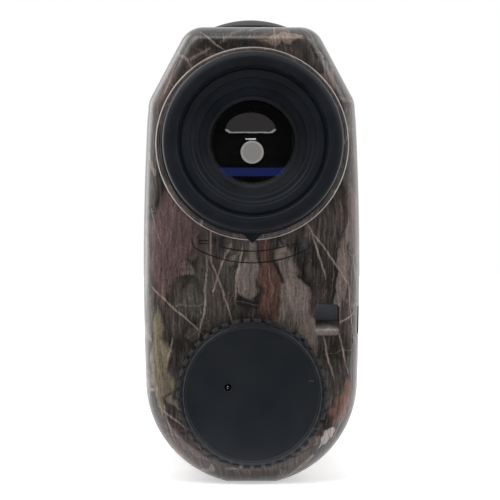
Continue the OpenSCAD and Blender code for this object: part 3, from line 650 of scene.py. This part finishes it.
def makeRearCover():
    inset, depth = housing["rearRound"]
    wall, edge = housing["wall"], housing["edgeBreak"]
    turns = [math.pi / 2 * i / cover["roundSteps"] for i in range(cover["roundSteps"] + 1)]
    outer = [(rearY, inset + 0.15)]
    outer += [(rearY + depth * (1 - math.cos(t)), inset * (1 - math.sin(t))) for t in turns]
    outer += [(seamY - edge, 0.0), (seamY, edge)]
    shell = loft("rear_cover_shell", outer, material="camoPrint")
    hollow = [(rearY + cover["backWall"], wall + 1.2), (rearY + depth + 0.6, wall), (seamY + 1, wall)]
    tools = [loft("hollowTool", hollow)]
    deep = rearY + cover["backWall"] + 2
    for radius, z in ((cover["seatRadius"], axisZ), (cover["mouthRadius"], batteryZ)):
        lead = [(0, rearY - 1, 0), (radius + 1.2, rearY - 1, 0), (radius, rearY + 0.2, 0), (radius, deep, 0),
                (0, deep, 0)]
        tools.append(turned("boreTool", lead, z))
    shell = combined(shell, tools)
    (x0, x1), (z0, z1), around = cover["eyeletAcross"], cover["eyeletUp"], cover["eyeletWall"]
    inner = rearY + cover["eyeletDepth"]
    pocket = block("eyelet_block", (x0 - around, bodyWidth / 2 - around), (rearY + 0.8, inner + around),
                   (z0 - around, z1 + around))
    shell = combined(shell, [pocket], "UNION")
    mouth = block("pocketTool", (x0, x1), (rearY - 1, inner), (z0, z1), cover["eyeletRound"])
    side = block("sideTool", (x0 + 0.4, bodyWidth), (rearY + cover["eyeletPost"], inner),
                 (z0 + 0.3, z1 - 0.3), cover["eyeletRound"])
    return printOn(combined(shell, [mouth, side]), spreadBack)


settle(makeRearCover(), "housing", "camo_shell", "rear_cover")


def makeEyeletFloor():
    # the deep wall of the eyelet and the ramp that leads the cord in
    (x0, x1), (z0, z1) = cover["eyeletAcross"], cover["eyeletUp"]
    deep = rearY + cover["eyeletDepth"]
    wall = block("eyelet_wall", (x0 + 0.08, x1 - 0.08), (deep - 0.9, deep - 0.1), (z0 + 0.1, z1 - 0.1), 0.6)
    wall.data.materials[0] = materials["recessPlastic"]
    settle(wall, "housing", "frame_plastic")
    side = [(rearY + 0.22, z0 + 0.02), (deep - 0.92, z0 + 0.02), (deep - 0.92, z0 + 2.3),
            (rearY + 1.0, z0 + 1.55), (rearY + 0.4, z0 + 0.9)]
    points = [(x, y, z) for x in (x0 + 0.04, x1 - 0.04) for y, z in side]
    ramp = meshOf("eyelet_ramp", points, tubeFaces(len(side), 2), "camoPrint", 60)
    # the whole ramp is painted lighter: painted light that lifts it as if lit where it lies in the pocket's
    # shade
    settle(printOn(ramp, spreadBack, lambda point: 0.5), "housing", "camo_shell")


makeEyeletFloor()
print("rear cover made")


# power button: a low crown on a slot outline, with a flange under the casing
button = {
    "width": 13.2,
    "length": 17.0,
    "gap": 0.3,
    "edgeHeight": 0.95,
    "edgeRound": 0.35,
    "rise": 2.2,
    "flange": (1.0, 0.8),
    "stemRadius": 1.6,
    "rings": 14,
    "sides": 96,
}


def slotRing(middleY, radius, straight, z):
    # points round a slot outline, the same number whatever its radius
    ring = []
    for i in range(button["sides"]):
        a = 2 * math.pi * i / button["sides"]
        end = math.copysign(straight / 2, 1 if math.sin(a) > 0 else -1)
        ring.append((radius * math.cos(a), middleY + end + radius * math.sin(a), z))
    return ring


# main casing and the two gaskets that show as thin dark lines
def makeCasing():
    edge, wall = housing["edgeBreak"], housing["wall"]
    steps = 24
    length = casingEndY - casingY - 2 * edge
    rings = [(casingY, edge)] + [(casingY + edge + length * i / steps, 0) for i in range(steps + 1)]
    rings += [(casingEndY, edge), (casingEndY, wall), (casingY, wall)]
    shell = loft("main_casing_shell", rings, True, "camoPrint")
    radius, straight = (button["width"] + button["gap"]) / 2, button["length"] - button["width"]
    middleY = middleOf("button_seal", 1)
    points = slotRing(middleY, radius, straight, bodyHeight - wall - 2)
    points += slotRing(middleY, radius, straight, bodyHeight + 2)
    shell = combined(shell, [meshOf("holeTool", points, tubeFaces(button["sides"], 2))])
    settle(printOn(shell, spreadSide), "housing", "camo_shell", "main_casing")


def makeGasket(name):
    low, high = lowOf(name, 1), highOf(name, 1)
    inset, wall = housing["gasketInset"], housing["wall"]
    rings = [(low, inset), (high, inset), (high, wall), (low, wall)]
    settle(loft(name + "_seal", rings, True, "gasketRubber"), "housing", "rubber", name)


def makeButton():
    middleY = middleOf("power_button", 1)
    radius, straight = button["width"] / 2, button["length"] - button["width"]
    base = lowOf("power_button", 2)
    flangeTop = bodyHeight - housing["wall"] - 0.45
    out, thick = button["flange"]
    edge, edgeTop = button["edgeRound"], bodyHeight + button["edgeHeight"]
    crown = [(radius + out, flangeTop - thick), (radius + out, flangeTop), (radius, flangeTop),
             (radius, edgeTop - edge)]
    for k in range(1, 5):
        a = math.pi / 2 * k / 4
        crown.append((radius - edge * (1 - math.cos(a)), edgeTop - edge * (1 - math.sin(a))))
    top = radius - edge
    for k in range(1, button["rings"] + 1):
        r = top * (1 - k / button["rings"])
        crown.append((r, edgeTop + (button["rise"] - button["edgeHeight"]) * (1 - (r / top) ** 2)))
    points = []
    for r, z in crown:
        points += slotRing(middleY, r, straight, z)
    # the last ring has closed to a line, so it takes no cap
    faces = tubeFaces(button["sides"], len(crown))[:-1]
    cap = meshOf("power_button_crown", points, faces, "buttonRubber", 40)
    settle(cap, "button", "button_rubber", "power_button")
    foot, count = button["stemRadius"], 32
    stem = [(0, base), (foot, base), (foot, flangeTop - 0.7), (0, flangeTop - 0.7)]
    points = []
    for k in range(count):
        a = 2 * math.pi * k / count
        points += [(r * math.cos(a), middleY + r * math.sin(a), z) for r, z in stem]
    post = meshOf("power_button_stem", points, tubeFaces(len(stem), count, True), "buttonRubber")
    settle(post, "button", "button_rubber")


makeCasing()
makeGasket("rear_gasket")
makeGasket("front_gasket")
makeButton()
print("casing and button made")


# eyecup: soft concentric steps round a deep bore, with a pointer under its foot
cup = {
    "radius": 13.9,
    "footFlange": 14.25,
    "flangeLength": 1.2,
    # radius, depth from the back, fillet
    "steps": [
        (7.1, 3.4, 0.15), (8.15, 2.2, 0.25), (8.4, 1.62, 0.2), (9.2, 1.5, 0.2), (9.38, 1.25, 0.12),
        (9.68, 1.25, 0.12), (9.8, 0.86, 0.16), (10.95, 0.7, 0.2), (11.12, 0.98, 0.12), (11.4, 0.98, 0.12),
        (11.62, 0.12, 0.22), (12.6, 0, 0.3), (13.0, 0.05, 0.3), (13.78, 0.42, 0.45), (13.9, 1.6, 0.3),
    ],
    "boreRadius": 7.1,
    "floorDepth": 4.1,
    "sleeveRadius": 12.3,
    "hugRadius": 13.0,
    "pointerHalf": 1.55,
    "pointerDrop": 1.35,
}


def makeEyecup():
    back, foot = lowOf("eyecup", 1), highOf("eyecup", 1)
    ringBack = lowOf("diopter_ring", 1)
    flange, shoulder = cup["footFlange"], foot - cup["flangeLength"]
    hug, sleeve, floor = cup["hugRadius"], cup["sleeveRadius"], back + cup["floorDepth"]
    corners = [(radius, back + depth, fillet) for radius, depth, fillet in cup["steps"]]
    corners += [(cup["radius"], shoulder, 0.15), (flange, shoulder, 0.15), (flange, foot, 0.05),
                (hug, foot, 0), (hug, ringBack, 0), (sleeve, ringBack, 0), (sleeve, floor, 0),
                (cup["boreRadius"], floor, 0.1)]
    settle(turned("eyecup_rubber", corners, axisZ, "cupRubber", steps=192), "diopter", "rubber", "eyecup")
    rim = axisZ - flange
    half, drop = cup["pointerHalf"], cup["pointerDrop"]
    path = filleted([(-half, rim + 0.5, 0), (-half, rim + 0.1, 0.1), (0, rim - drop, 0.25),
                     (half, rim + 0.1, 0.1), (half, rim + 0.5, 0)])
    points = []
    for y, share in ((foot, 1.0), (shoulder + 0.15, 1.0), (shoulder, 0.9)):
        points += [(x * share, y, rim + 0.3 + (z - rim - 0.3) * share) for x, z in path]
    pointer = meshOf("eyecup_pointer", points, tubeFaces(len(path), 3), "cupRubber")
    settle(pointer, "diopter", "rubber")


makeEyecup()


# diopter ring: printed like the shell, with a light broken edge
ringShape = {
    "innerRadius": 11.66,
    "hubRadius": 12.9,
    "cupRadius": 14.35,
    "lipRadius": 14.62,
}


def makeDiopterRing():
    back, front = lowOf("diopter_ring", 1), highOf("diopter_ring", 1)
    radius, foot = highOf("diopter_ring", 0), highOf("eyecup", 1)
    inner, hub, lip = ringShape["innerRadius"], ringShape["hubRadius"], ringShape["lipRadius"]
    corners = [
        (inner, back, 0), (hub, back, 0), (hub, foot + 0.02, 0), (ringShape["cupRadius"], foot + 0.02, 0),
        (lip - 0.12, foot + 0.16, 0.08), (lip, foot + 0.04, 0.08), (radius - 0.24, foot + 0.04, 0.1),
        (radius - 0.1, foot + 0.22, 0.08), (radius, foot + 0.38, 0.15),
        (radius, front - 0.25, 0.2), (radius - 0.2, front, 0.1), (inner, front, 0),
    ]
    ring = turned("diopter_ring_shell", corners, axisZ, "camoPrint", steps=192)

    def wearAt(point):
        # only the two lips that face back are painted lighter
        reach = math.hypot(point.x, point.z - axisZ * mm) / mm
        if point.y / mm > foot + 0.6:
            return 0.0
        return max(0.0, 1 - abs(reach - radius + 0.06) / 0.12, 0.8 - abs(reach - lip) / 0.12)

    settle(printOn(ring, spreadRing, wearAt), "diopter", "camo_shell", "diopter_ring")


makeDiopterRing()
print("eyecup and diopter ring made")


# turned optics: sag at the back, sag at the front, finish, body, slot and height of the axis
lenses = {
    "eye_lens": (0.7, 0.0, "eyeGlass", "ocular", "coated_glass", axisZ),
    "objective_crown": (0.0, 1.2, "objectiveGlass", "housing", "coated_glass", axisZ),
    "receiver_lens": (0.0, 1.3, "receiverGlass", "housing", "receiver_glass", receiverZ),
}


def makeLens(node, sagBack, sagFront, finish, body, slot, z):
    # a closed solid with curved faces, which marks the vertices of its outer half
    low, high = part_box(node)
    radius = high.x / mm
    back, front = low.y / mm + sagBack, high.y / mm - sagFront
    steps = 28
    reaches = [radius * k / steps for k in range(steps + 1)]
    path = [(r, back - sagBack * (1 - (r / radius) ** 2), 0) for r in reaches]
    path += [(r, front + sagFront * (1 - (r / radius) ** 2), 0) for r in reversed(reaches)]
    lens = turned(node + "_glass", path, z, finish, sharp=50)
    middle = (low.y + high.y) / 2
    towards = 1 if sagFront > sagBack else -1
    outward = [float((v.co.y - middle) * towards > 0) for v in lens.data.vertices]
    lens.data.attributes.new("outer", "FLOAT", "POINT").data.foreach_set("value", outward)
    settle(lens, body, slot, node)


def makeEyeEdge():
    # the blackened cone that holds the eye lens, with its lower half turned up to the light
    back, reach = lowOf("eye_lens", 1), highOf("eye_lens", 0)
    corners = [(6.2, back + 0.62, 0.04), (reach - 0.1, back + 0.12, 0.1), (reach - 0.1, back + 0.9, 0),
               (6.2, back + 0.74, 0)]
    settle(turned("eye_lens_edge", corners, axisZ, "lensEdge"), "ocular", "coated_glass")


for name, row in lenses.items():
    makeLens(name, *row)
makeEyeEdge()


# a disc on the eye's side of the display panel, seen deep in the eyepiece, glows as painted light: it stands
# in for the light that comes through the optics, with a painted lighter rim
paintedPupil = {
    "radius": 1.85,
    "at": (0.27, -0.55),
    "thickness": 0.04,
    "glow": (0.30, 0.283, 0.262),
    "rim": (0.42, 0.40, 0.37),
}


def windowFinish():
    material, tree = newMaterial("windowGlow")
    place = objectPlace(tree)
    x, z = paintedPupil["at"]
    centred = vectorMaths("SUBTRACT", place, (x, 0, axisZ + z))
    far = vectorMaths("LENGTH", vectorMaths("MULTIPLY", centred, (1, 0, 1)))
    speck = noiseOf(place, 4.0, 2.0)
    share = far / paintedPupil["radius"] + speck * 0.06
    # painted glow, lighter towards its rim, given off though the disc is no lamp
    colour = rampOf(share, [(0.0, paintedPupil["glow"]), (0.80, paintedPupil["glow"]), (0.93, paintedPupil["rim"])])
    settings = {"Emission Strength": 1.0, "Emission Color": colour}
    finishSurface(tree, (0.02, 0.02, 0.02), 0.5, speck, 0.05, settings)
    return material


def makeWindow():
    back = lowOf("display_panel", 1) - paintedPupil["thickness"] - 0.02
    front, radius = back + paintedPupil["thickness"], paintedPupil["radius"]
    x, z = paintedPupil["at"]
    corners = [(0, back, 0), (radius, back, 0.01), (radius, front, 0.01), (0, front, 0)]
    disc = turned("display_window", corners, axisZ + z, "windowGlow", steps=64, centreX=x)
    settle(disc, "housing", "coated_glass")


materials["windowGlow"] = windowFinish()
makeWindow()


# front bezel with its objective hood and receiver collar
bezel = {
    "hoodRadius": 13.6,
    "hoodLength": 2.0,
    "hoodBore": 10.7,
    "cellSeat": 11.62,
    "collarRadius": 11.8,
    "collarLength": 1.0,
    "collarBore": 9.0,
    "receiverSeat": 10.8,
    "boreDepth": 0.95,
}


def makeBezel():
    rounding, wall, edge = housing["frontRound"], housing["wall"], housing["edgeBreak"]
    tip = highOf("front_bezel", 1)
    frontY = tip - bezel["hoodLength"]
    steps = cover["roundSteps"]
    depths = [rounding[1] * math.sin(math.pi / 2 * (1 - i / steps)) for i in range(steps + 1)]
    rings = [(bezelY, edge), (bezelY + edge, 0)]
    rings += [(frontY - depth, endInset(depth, rounding)) for depth in depths]
    rings.append((frontY, rounding[0] + 0.15))
    shell = loft("front_bezel_shell", rings, material="bezelPlastic")
    hollow = [(bezelY - 1, wall), (frontY - rounding[1] - 0.4, wall), (frontY - wall, wall + 1.2)]
    tools = [loft("hollowTool", hollow)]
    for radius, z in ((bezel["cellSeat"], axisZ), (bezel["receiverSeat"] + 0.05, receiverZ)):
        path = [(0, frontY - 4, 0), (radius, frontY - 4, 0), (radius, frontY + 1, 0), (0, frontY + 1, 0)]
        tools.append(turned("boreTool", path, z))
    settle(combined(shell, tools), "housing", "black_bezel", "front_bezel")
    low, floor = frontY - wall, frontY - bezel["boreDepth"]
    radius, bore, seat = bezel["hoodRadius"], bezel["hoodBore"], bezel["cellSeat"] - 0.02
    hood = [
        (seat, low, 0), (radius, low, 0), (radius, frontY + 0.4, 0.1), (radius - 0.25, frontY + 0.65, 0.1),
        (radius - 0.25, tip - 0.5, 0.4), (radius - 0.7, tip, 0.35), (bore + 0.5, tip, 0.3),
        (bore, tip - 0.5, 0.3), (bore, floor, 0), (seat, floor, 0),
    ]
    settle(turned("objective_hood", hood, axisZ, "bezelPlastic", steps=160), "housing", "black_bezel")
    radius, bore, seat = bezel["collarRadius"], bezel["collarBore"], bezel["receiverSeat"] + 0.03
    face = frontY + bezel["collarLength"]
    collar = [
        (seat, low, 0), (radius, low, 0), (radius, face - 0.4, 0.3), (radius - 0.4, face, 0.25),
        (bore + 0.9, face, 0.2), (bore, face - 0.9, 0.2), (bore, floor, 0), (seat, floor, 0),
    ]
    settle(turned("receiver_collar", collar, receiverZ, "bezelPlastic", steps=160), "housing", "black_bezel")


makeBezel()
print("optics and bezel made")


# geometry nodes helpers
def newTree(name, inputs):
    tree = bpy.data.node_groups.new(name, "GeometryNodeTree")
    tree.interface.new_socket("Geometry", in_out="OUTPUT", socket_type="NodeSocketGeometry")
    for label, kind in inputs.items():
        tree.interface.new_socket(label, in_out="INPUT", socket_type="NodeSocket" + kind)
    return tree, addNode(tree, "NodeGroupInput").outputs


def closeTree(tree, geometry, material):
    real = addNode(tree, "GeometryNodeRealizeInstances", {0: geometry})
    feeds = {"Geometry": real.outputs[0], "Material": materials[material]}
    paint = addNode(tree, "GeometryNodeSetMaterial", feeds)
    addNode(tree, "NodeGroupOutput", {0: paint.outputs[0]})


def growPiece(name, tree, values, material):
    holder = bpy.data.objects.new(name + "Source", bpy.data.meshes.new(name + "Source"))
    bpy.context.scene.collection.objects.link(holder)
    grow = holder.modifiers.new("grow", "NODES")
    grow.node_group = tree
    for item in tree.interface.items_tree:
        if item.in_out == "INPUT" and item.name in values:
            grow[item.identifier] = values[item.name]
    return tidyMesh(name, asMesh(holder), material)


def shiftBy(x, y, z):
    return Matrix.Translation(Vector((x, y, z)) * mm)


def sweepAlong(tree, curve, radius, sides):
    profile = addNode(tree, "GeometryNodeCurvePrimitiveCircle", {"Resolution": sides, "Radius": radius})
    feeds = {"Curve": curve, "Profile Curve": profile.outputs[0], "Fill Caps": True}
    return addNode(tree, "GeometryNodeCurveToMesh", feeds).outputs[0]


def stoodUp(tree, geometry):
    # from the floor plane to the face of the cap
    feeds = {"Geometry": geometry, "Rotation": (math.pi / 2, 0, 0)}
    return addNode(tree, "GeometryNodeTransform", feeds).outputs[0]


# battery cap: a flat face inside a toothed rim, on a threaded spigot
cap = {
    "faceRadius": 10.75,
    "rimRadius": 11.25,
    "toothRadius": 11.8,
    "toothWidth": 1.08,
    "toothSoft": 0.14,
    "teeth": 42,
    "spigotRadius": 9.45,
    "spigotBore": 7.75,
    "threadTurns": 1.6,
    "threadPitch": 1.25,
    "threadRadius": 0.16,
    "threadStart": 3.4,
    "pinHole": (-3.8, 1.1),
    "pinHoleRadius": 0.55,
    "tick": (9.2, 2.1),
    "tickHalf": (0.45, 0.14),
}


def makeCap():
    back, spigotEnd = lowOf("battery_cap", 1), highOf("battery_cap", 1)
    face = rearY - 0.2
    edge, rim, spigot, bore = cap["faceRadius"], cap["rimRadius"], cap["spigotRadius"], cap["spigotBore"]
    corners = [
        (0, back + 0.10, 0), (edge - 0.42, back + 0.10, 0.08), (edge - 0.28, back, 0.08),
        (edge - 0.02, back, 0.1), (edge + 0.06, back + 0.30, 0.1), (edge + 0.10, back + 0.75, 0.1),
        (rim, back + 0.85, 0.1), (rim, face, 0), (spigot, face, 0), (spigot, face + 0.5, 0),
        (spigot - 0.55, face + 0.5, 0),
        (spigot - 0.55, face + 1.3, 0), (spigot - 0.2, face + 1.3, 0), (spigot - 0.2, spigotEnd, 0.2),
        (bore, spigotEnd, 0), (bore, rearY + 0.5, 0), (0, rearY + 0.5, 0),
    ]
    body = turned("battery_cap_body", corners, batteryZ, "capPlastic", steps=168)
    x, lift = cap["pinHole"]
    radius = cap["pinHoleRadius"]
    hole = [(0, back - 1, 0), (radius + 0.12, back - 1, 0), (radius + 0.12, back + 0.08, 0),
            (radius, back + 0.24, 0), (radius, back + 1.2, 0), (0, back + 1.2, 0)]
    body = combined(body, [turned("holeTool", hole, batteryZ + lift, steps=32, centreX=x)])
    settle(body, "cap", "cap_plastic", "battery_cap")
    # the rounded end of a steel pin shows in the hole
    tip = [(0, back + 0.28, 0), (0.16, back + 0.31, 0), (0.30, back + 0.42, 0), (0.36, back + 0.6, 0),
           (0.36, back + 1.3, 0), (0, back + 1.3, 0)]
    pin = turned("battery_cap_pin", tip, batteryZ + lift, "steel", steps=24, centreX=x, sharp=50)
    settle(pin, "cap", "cap_plastic")


def makeTeeth():
    tree, given = newTree("capTeeth", {"Count": "Int", "Radius": "Float", "Tooth": "Vector"})
    ring = addNode(tree, "GeometryNodeMeshCircle", {"Vertices": given["Count"], "Radius": given["Radius"]})
    tooth = addNode(tree, "GeometryNodeMeshCube", {"Size": given["Tooth"]})
    place = addNode(tree, "GeometryNodeInputPosition")
    turn = addNode(tree, "FunctionNodeAlignRotationToVector", {"Vector": place.outputs[0]}, axis="X")
    feeds = {"Points": ring.outputs["Mesh"], "Instance": tooth.outputs["Mesh"], "Rotation": turn.outputs[0]}
    copies = addNode(tree, "GeometryNodeInstanceOnPoints", feeds)
    # the teeth take the lighter copy of the cap plastic: painted light on the raised rim
    closeTree(tree, stoodUp(tree, copies.outputs[0]), "toothPlastic")
    back, front = lowOf("battery_cap", 1) + 0.72, rearY - 0.22
    depth = cap["toothRadius"] - cap["rimRadius"] + 0.12
    values = {"Count": cap["teeth"], "Radius": (cap["toothRadius"] - depth / 2) * mm,
              "Tooth": (depth * mm, cap["toothWidth"] * mm, (front - back) * mm)}
    teeth = growPiece("battery_cap_teeth", tree, values, "toothPlastic")
    teeth.data.transform(shiftBy(0, (back + front) / 2, batteryZ))
    soften = teeth.modifiers.new("soften", "BEVEL")
    soften.width = cap["toothSoft"] * mm
    soften.segments = 2
    settle(tidyMesh("battery_cap_teeth", asMesh(teeth), "toothPlastic"), "cap", "cap_plastic")


def makeThread():
    tree, given = newTree("capThread", dict.fromkeys(("Turns", "Radius", "Height", "Ridge"), "Float"))
    feeds = {"Resolution": 72, "Rotations": given["Turns"], "Start Radius": given["Radius"],
             "End Radius": given["Radius"], "Height": given["Height"]}
    helix = addNode(tree, "GeometryNodeCurveSpiral", feeds)
    sweep = sweepAlong(tree, helix.outputs[0], given["Ridge"], 6)
    closeTree(tree, stoodUp(tree, sweep), "capPlastic")
    values = {"Turns": cap["threadTurns"], "Radius": (cap["spigotRadius"] - 0.2) * mm,
              "Height": cap["threadTurns"] * cap["threadPitch"] * mm, "Ridge": cap["threadRadius"] * mm}
    thread = growPiece("battery_cap_thread", tree, values, "capPlastic")
    thread.data.transform(shiftBy(0, rearY + cap["threadStart"], batteryZ))
    settle(thread, "cap", "cap_plastic")


def makeTick():
    # a short raised bar that lines up with the closed mark
    back = lowOf("battery_cap", 1)
    x, lift = cap["tick"]
    halfX, halfZ = cap["tickHalf"]
    z = batteryZ + lift
    mark = block("battery_cap_tick", (x - halfX, x + halfX), (back + 0.02, back + 0.4),
                 (z - halfZ, z + halfZ), 0.12)
    # the bar takes the lighter copy of the cap plastic: painted light on a raised mark
    mark.data.materials[0] = materials["toothPlastic"]
    settle(mark, "cap", "cap_plastic")


makeCap()
makeTeeth()
makeThread()
makeTick()
print("battery cap made")


# the diopter scale: two thin arcs under the eyecup, with a minus and a plus
scale = {
    "outerRadius": 18.62,
    "innerRadius": 16.8,
    "outerSpan": (-27.0, 28.2),
    "innerSpan": 18.0,
    "curl": [(-1.0, -32.4), (-0.5, -31.2), (-0.1, -29.2)],
    "line": 0.085,
    "markLine": 0.09,
    "markHalf": 0.8,
    "minusAt": -26.5,
    "plusAt": 24.2,
    "markRadius": 17.2,
}


def linePiece(name, path, radius=scale["markLine"]):
    # a thin bar whose centre follows the path on the back face
    tree, given = newTree(name + "Sweep", {"Radius": "Float"})
    line = bpy.data.curves.new(name + "Path", "CURVE")
    line.dimensions = "3D"
    spline = line.splines.new("POLY")
    spline.points.add(len(path) - 1)
    for point, (x, z) in zip(spline.points, path):
        point.co = (x * mm, (rearY - 0.005) * mm, z * mm, 1)
    holder = bpy.data.objects.new(name + "Path", line)
    bpy.context.scene.collection.objects.link(holder)
    source = addNode(tree, "GeometryNodeObjectInfo", {"Object": holder})
    sweep = sweepAlong(tree, source.outputs["Geometry"], given["Radius"], 8)
    closeTree(tree, sweep, "scalePaint")
    piece = growPiece(name, tree, {"Radius": radius * mm}, "scalePaint")
    bpy.data.objects.remove(holder)
    settle(piece, "housing", "camo_shell")


def aroundAxis(radius, degrees):
    a = math.radians(degrees)
    return (radius * math.sin(a), axisZ - radius * math.cos(a))


def arcOf(radius, start, end, steps):
    return [aroundAxis(radius, start + (end - start) * i / steps) for i in range(steps + 1)]


def makeScale():
    (start, end), inner, outerRadius = scale["outerSpan"], scale["innerSpan"], scale["outerRadius"]
    curlIn = [aroundAxis(outerRadius + lift, turn) for lift, turn in scale["curl"]]
    curlOut = [aroundAxis(outerRadius - 0.5, end + 1.8)]
    linePiece("scale_outer_arc", curlIn + arcOf(outerRadius, start, end, 48) + curlOut, scale["line"])
    linePiece("scale_inner_arc", arcOf(scale["innerRadius"], -inner, inner, 32), scale["line"])
    half = scale["markHalf"]
    x, z = aroundAxis(scale["markRadius"], scale["minusAt"])
    linePiece("scale_minus", [(x - half, z + 0.25), (x + half, z + 0.25)])
    linePiece("scale_minus_low", [(x - half, z - 0.2), (x + half, z - 0.2)], scale["markLine"] * 0.7)
    x, z = aroundAxis(scale["markRadius"], scale["plusAt"])
    linePiece("scale_plus_level", [(x - half, z), (x + half, z)])
    linePiece("scale_plus_upright", [(x, z - 0.6), (x, z + 0.6)])


makeScale()
print("scale made")


# every part that stays as the frame gives it takes its finish here
finishOfNode = {
    "framePlastic": ["inner_frame", "display_frame", "battery_tube", "receiver_cone"],
    "steel": ["cover_screws", "ring_retainer", "cam_pin", "cage_screws", "board_screws", "shield_can",
              "contact_spring"],
    "blackMetal": ["eyepiece_barrel", "ocular_cell", "ocular_spacer", "ocular_nut", "prism_cage",
                   "objective_tube", "objective_cell", "objective_nut", "receiver_nut"],
    "castMetal": ["laser_holder"],
    "goldCan": ["laser_diode", "photodiode"],
    "springPlate": ["positive_contact", "contact_disc"],
    "gasketRubber": ["cell_o_ring", "cap_o_ring", "button_seal"],
    "eyeGlass": ["field_lens"],
    "objectiveGlass": ["objective_flint"],
    "prismGlass": ["half_prism", "roof_prism"],
    "panelGlass": ["display_panel"],
    "receiverGlass": ["receiver_filter"],
    "boardLaminate": ["main_board", "receiver_board", "switch_board"],
    "chipResin": ["processor_chip", "board_chips", "tact_switch"],
    "chipCeramic": ["capacitors"],
    "flexFilm": ["display_flex", "switch_flex"],
    "plungerPlastic": ["switch_plunger"],
    "cellWrap": ["battery_cell"],
}
for finish, names in finishOfNode.items():
    for name in names:
        nodes[name].data.materials.clear()
        nodes[name].data.materials.append(materials[finish])
withFinish = sum(finishOfNode.values(), [])
print("parts without a finish:", [n for n in nodes if n not in withFinish and not nodes[n].hide_render])


# studio: a pale floor, an even white surround, three soft lights and the cards that the eye lens mirrors
studio = {
    "surround": 1.0,
    "floor": (0.92, 0.92, 0.92),
    "floorGlow": 0.5,
    "floorReach": 3000,
    # place in metres, size, power
    "lights": [((-0.55, -0.35, 0.75), 0.6, 3.0), ((0.60, -0.30, 0.55), 0.5, 1.6),
               ((0.0, -0.60, 0.95), 0.4, 1.6)],
}


def emissive(name, colour, strength):
    material, tree = newMaterial(name)
    light = addNode(tree, "ShaderNodeEmission", {"Color": colour, "Strength": strength})
    addNode(tree, "ShaderNodeOutputMaterial", {0: light.outputs[0]})
    return material


def makeStudio():
    world = bpy.data.worlds.new("studioSurround")
    world.use_nodes = True
    sky = world.node_tree.nodes["Background"]
    feed(sky.inputs["Color"], (1, 1, 1))
    feed(sky.inputs["Strength"], studio["surround"])
    bpy.context.scene.world = world
    material, tree = newMaterial("paleFloor")
    cloud = noiseOf(objectPlace(tree), 0.01, 2.0)
    tone = mixColours(cloud, studio["floor"], tuple(0.985 * c for c in studio["floor"]))
    settings = {"Emission Strength": studio["floorGlow"], "Emission Color": tone}
    finishSurface(tree, tone, 0.8, cloud, 0, settings)
    materials["paleFloor"] = material
    reach = studio["floorReach"]
    corners = [(x, y, -0.02) for x, y in ((-reach, -reach), (reach, -reach), (reach, reach), (-reach, reach))]
    meshOf("floor", corners, [(0, 1, 2, 3)], "paleFloor")
    for number, (at, size, power) in enumerate(studio["lights"]):
        light = bpy.data.lights.new("softLight" + str(number), "AREA")
        light.size = size
        light.energy = power
        lamp = bpy.data.objects.new(light.name, light)
        lamp.location = at
        lamp.rotation_euler = (Vector((0, 0, 0.04)) - lamp.location).to_track_quat("-Z", "Y").to_euler()
        bpy.context.scene.collection.objects.link(lamp)


# the cards' colours and strengths
cards = {
    "domeCard": ((1.0, 0.93, 0.95), 0.105),
    "rimCard": ((1.0, 0.97, 0.97), 0.95),
    "dashCard": ((1.0, 1.0, 0.97), 2.2),
    "blueCard": ((0.13, 0.20, 1.0), 0.26),
    "darkMat": ((1.0, 1.0, 1.0), 0.006),
    "leftEdgeCard": ((1.0, 0.98, 0.98), 3.2),
    "rightEdgeCard": ((1.0, 0.98, 0.98), 1.6),
    "darkFlag": ((0.95, 0.97, 1.0), 0.008),
}


def makeCard(name, points, diffuse=False):
    # only mirrors see a card, apart from one that may shade the rough surfaces too
    materials[name] = emissive(name, *cards[name])
    card = meshOf(name, points, [tuple(range(len(points)))], name)
    card.visible_camera = False
    card.visible_diffuse = diffuse
    card.visible_shadow = diffuse


def upright(y, low, high, lowHalf, highHalf):
    return [(-lowHalf, y, low), (lowHalf, y, low), (highHalf, y, high), (-highHalf, y, high)]


def makeCards():
    # the eye lens is slightly domed, so each card shows small, at the height that its place gives
    back = rearY - 820
    half, low, rise = 162, axisZ + 98, 118
    turns = [math.pi * i / 16 for i in range(17)]
    dome = [(-half * 0.8, back, low), (half * 0.8, back, low)]
    dome += [(half * math.cos(a), back, low + 14 + rise * math.sin(a)) for a in turns]
    makeCard("domeCard", dome)
    rim = [(-0.85, -2), (0.85, -2), (1.02, 24), (0.92, 24), (0.76, 6), (-0.76, 6), (-0.92, 24), (-1.02, 24)]
    makeCard("rimCard", [(half * share, back + 2, low + lift) for share, lift in rim])
    makeCard("dashCard", upright(back, axisZ + 54, axisZ + 62, 32, 32))
    makeCard("blueCard", upright(rearY - 40, axisZ - 12.5, axisZ - 8.9, 13, 15))
    mat = [(-900, rearY - 1010, 2), (900, rearY - 1010, 2), (900, rearY - 14, 2), (-900, rearY - 14, 2)]
    makeCard("darkMat", mat)
    # tall bright cards beside and beyond the body, mirrored only by its outermost edges
    for name, side in (("leftEdgeCard", -1), ("rightEdgeCard", 1)):
        tall = [(side * 470, 170, 10), (side * 400, 480, 10), (side * 330, 480, 520), (side * 400, 170, 520)]
        makeCard(name, tall)
    # a wide dark flag behind the camera keeps the rubber deep and lets the edges mirror the bright surround
    makeCard("darkFlag", upright(rearY - 1000, 1, 1700, 1700, 1700), True)


makeStudio()
makeCards()

# the camera stands behind the eyepiece, in metres, degrees and millimetres
view = {
    "at": (-0.0057, -0.42, 0.0366),
    "turn": -0.8,
    "lens": 177.0,
    "sensor": 36.0,
    "clip": (0.01, 20.0),
}
camera = bpy.data.objects.new("camera", bpy.data.cameras.new("camera"))
camera.data.lens = view["lens"]
camera.data.sensor_width = view["sensor"]
camera.data.clip_start, camera.data.clip_end = view["clip"]
camera.location = view["at"]
camera.rotation_euler = (math.pi / 2, 0, math.radians(view["turn"]))
bpy.context.scene.collection.objects.link(camera)
bpy.context.scene.camera = camera
bpy.context.scene.view_settings.view_transform = "Standard"
print("studio made")
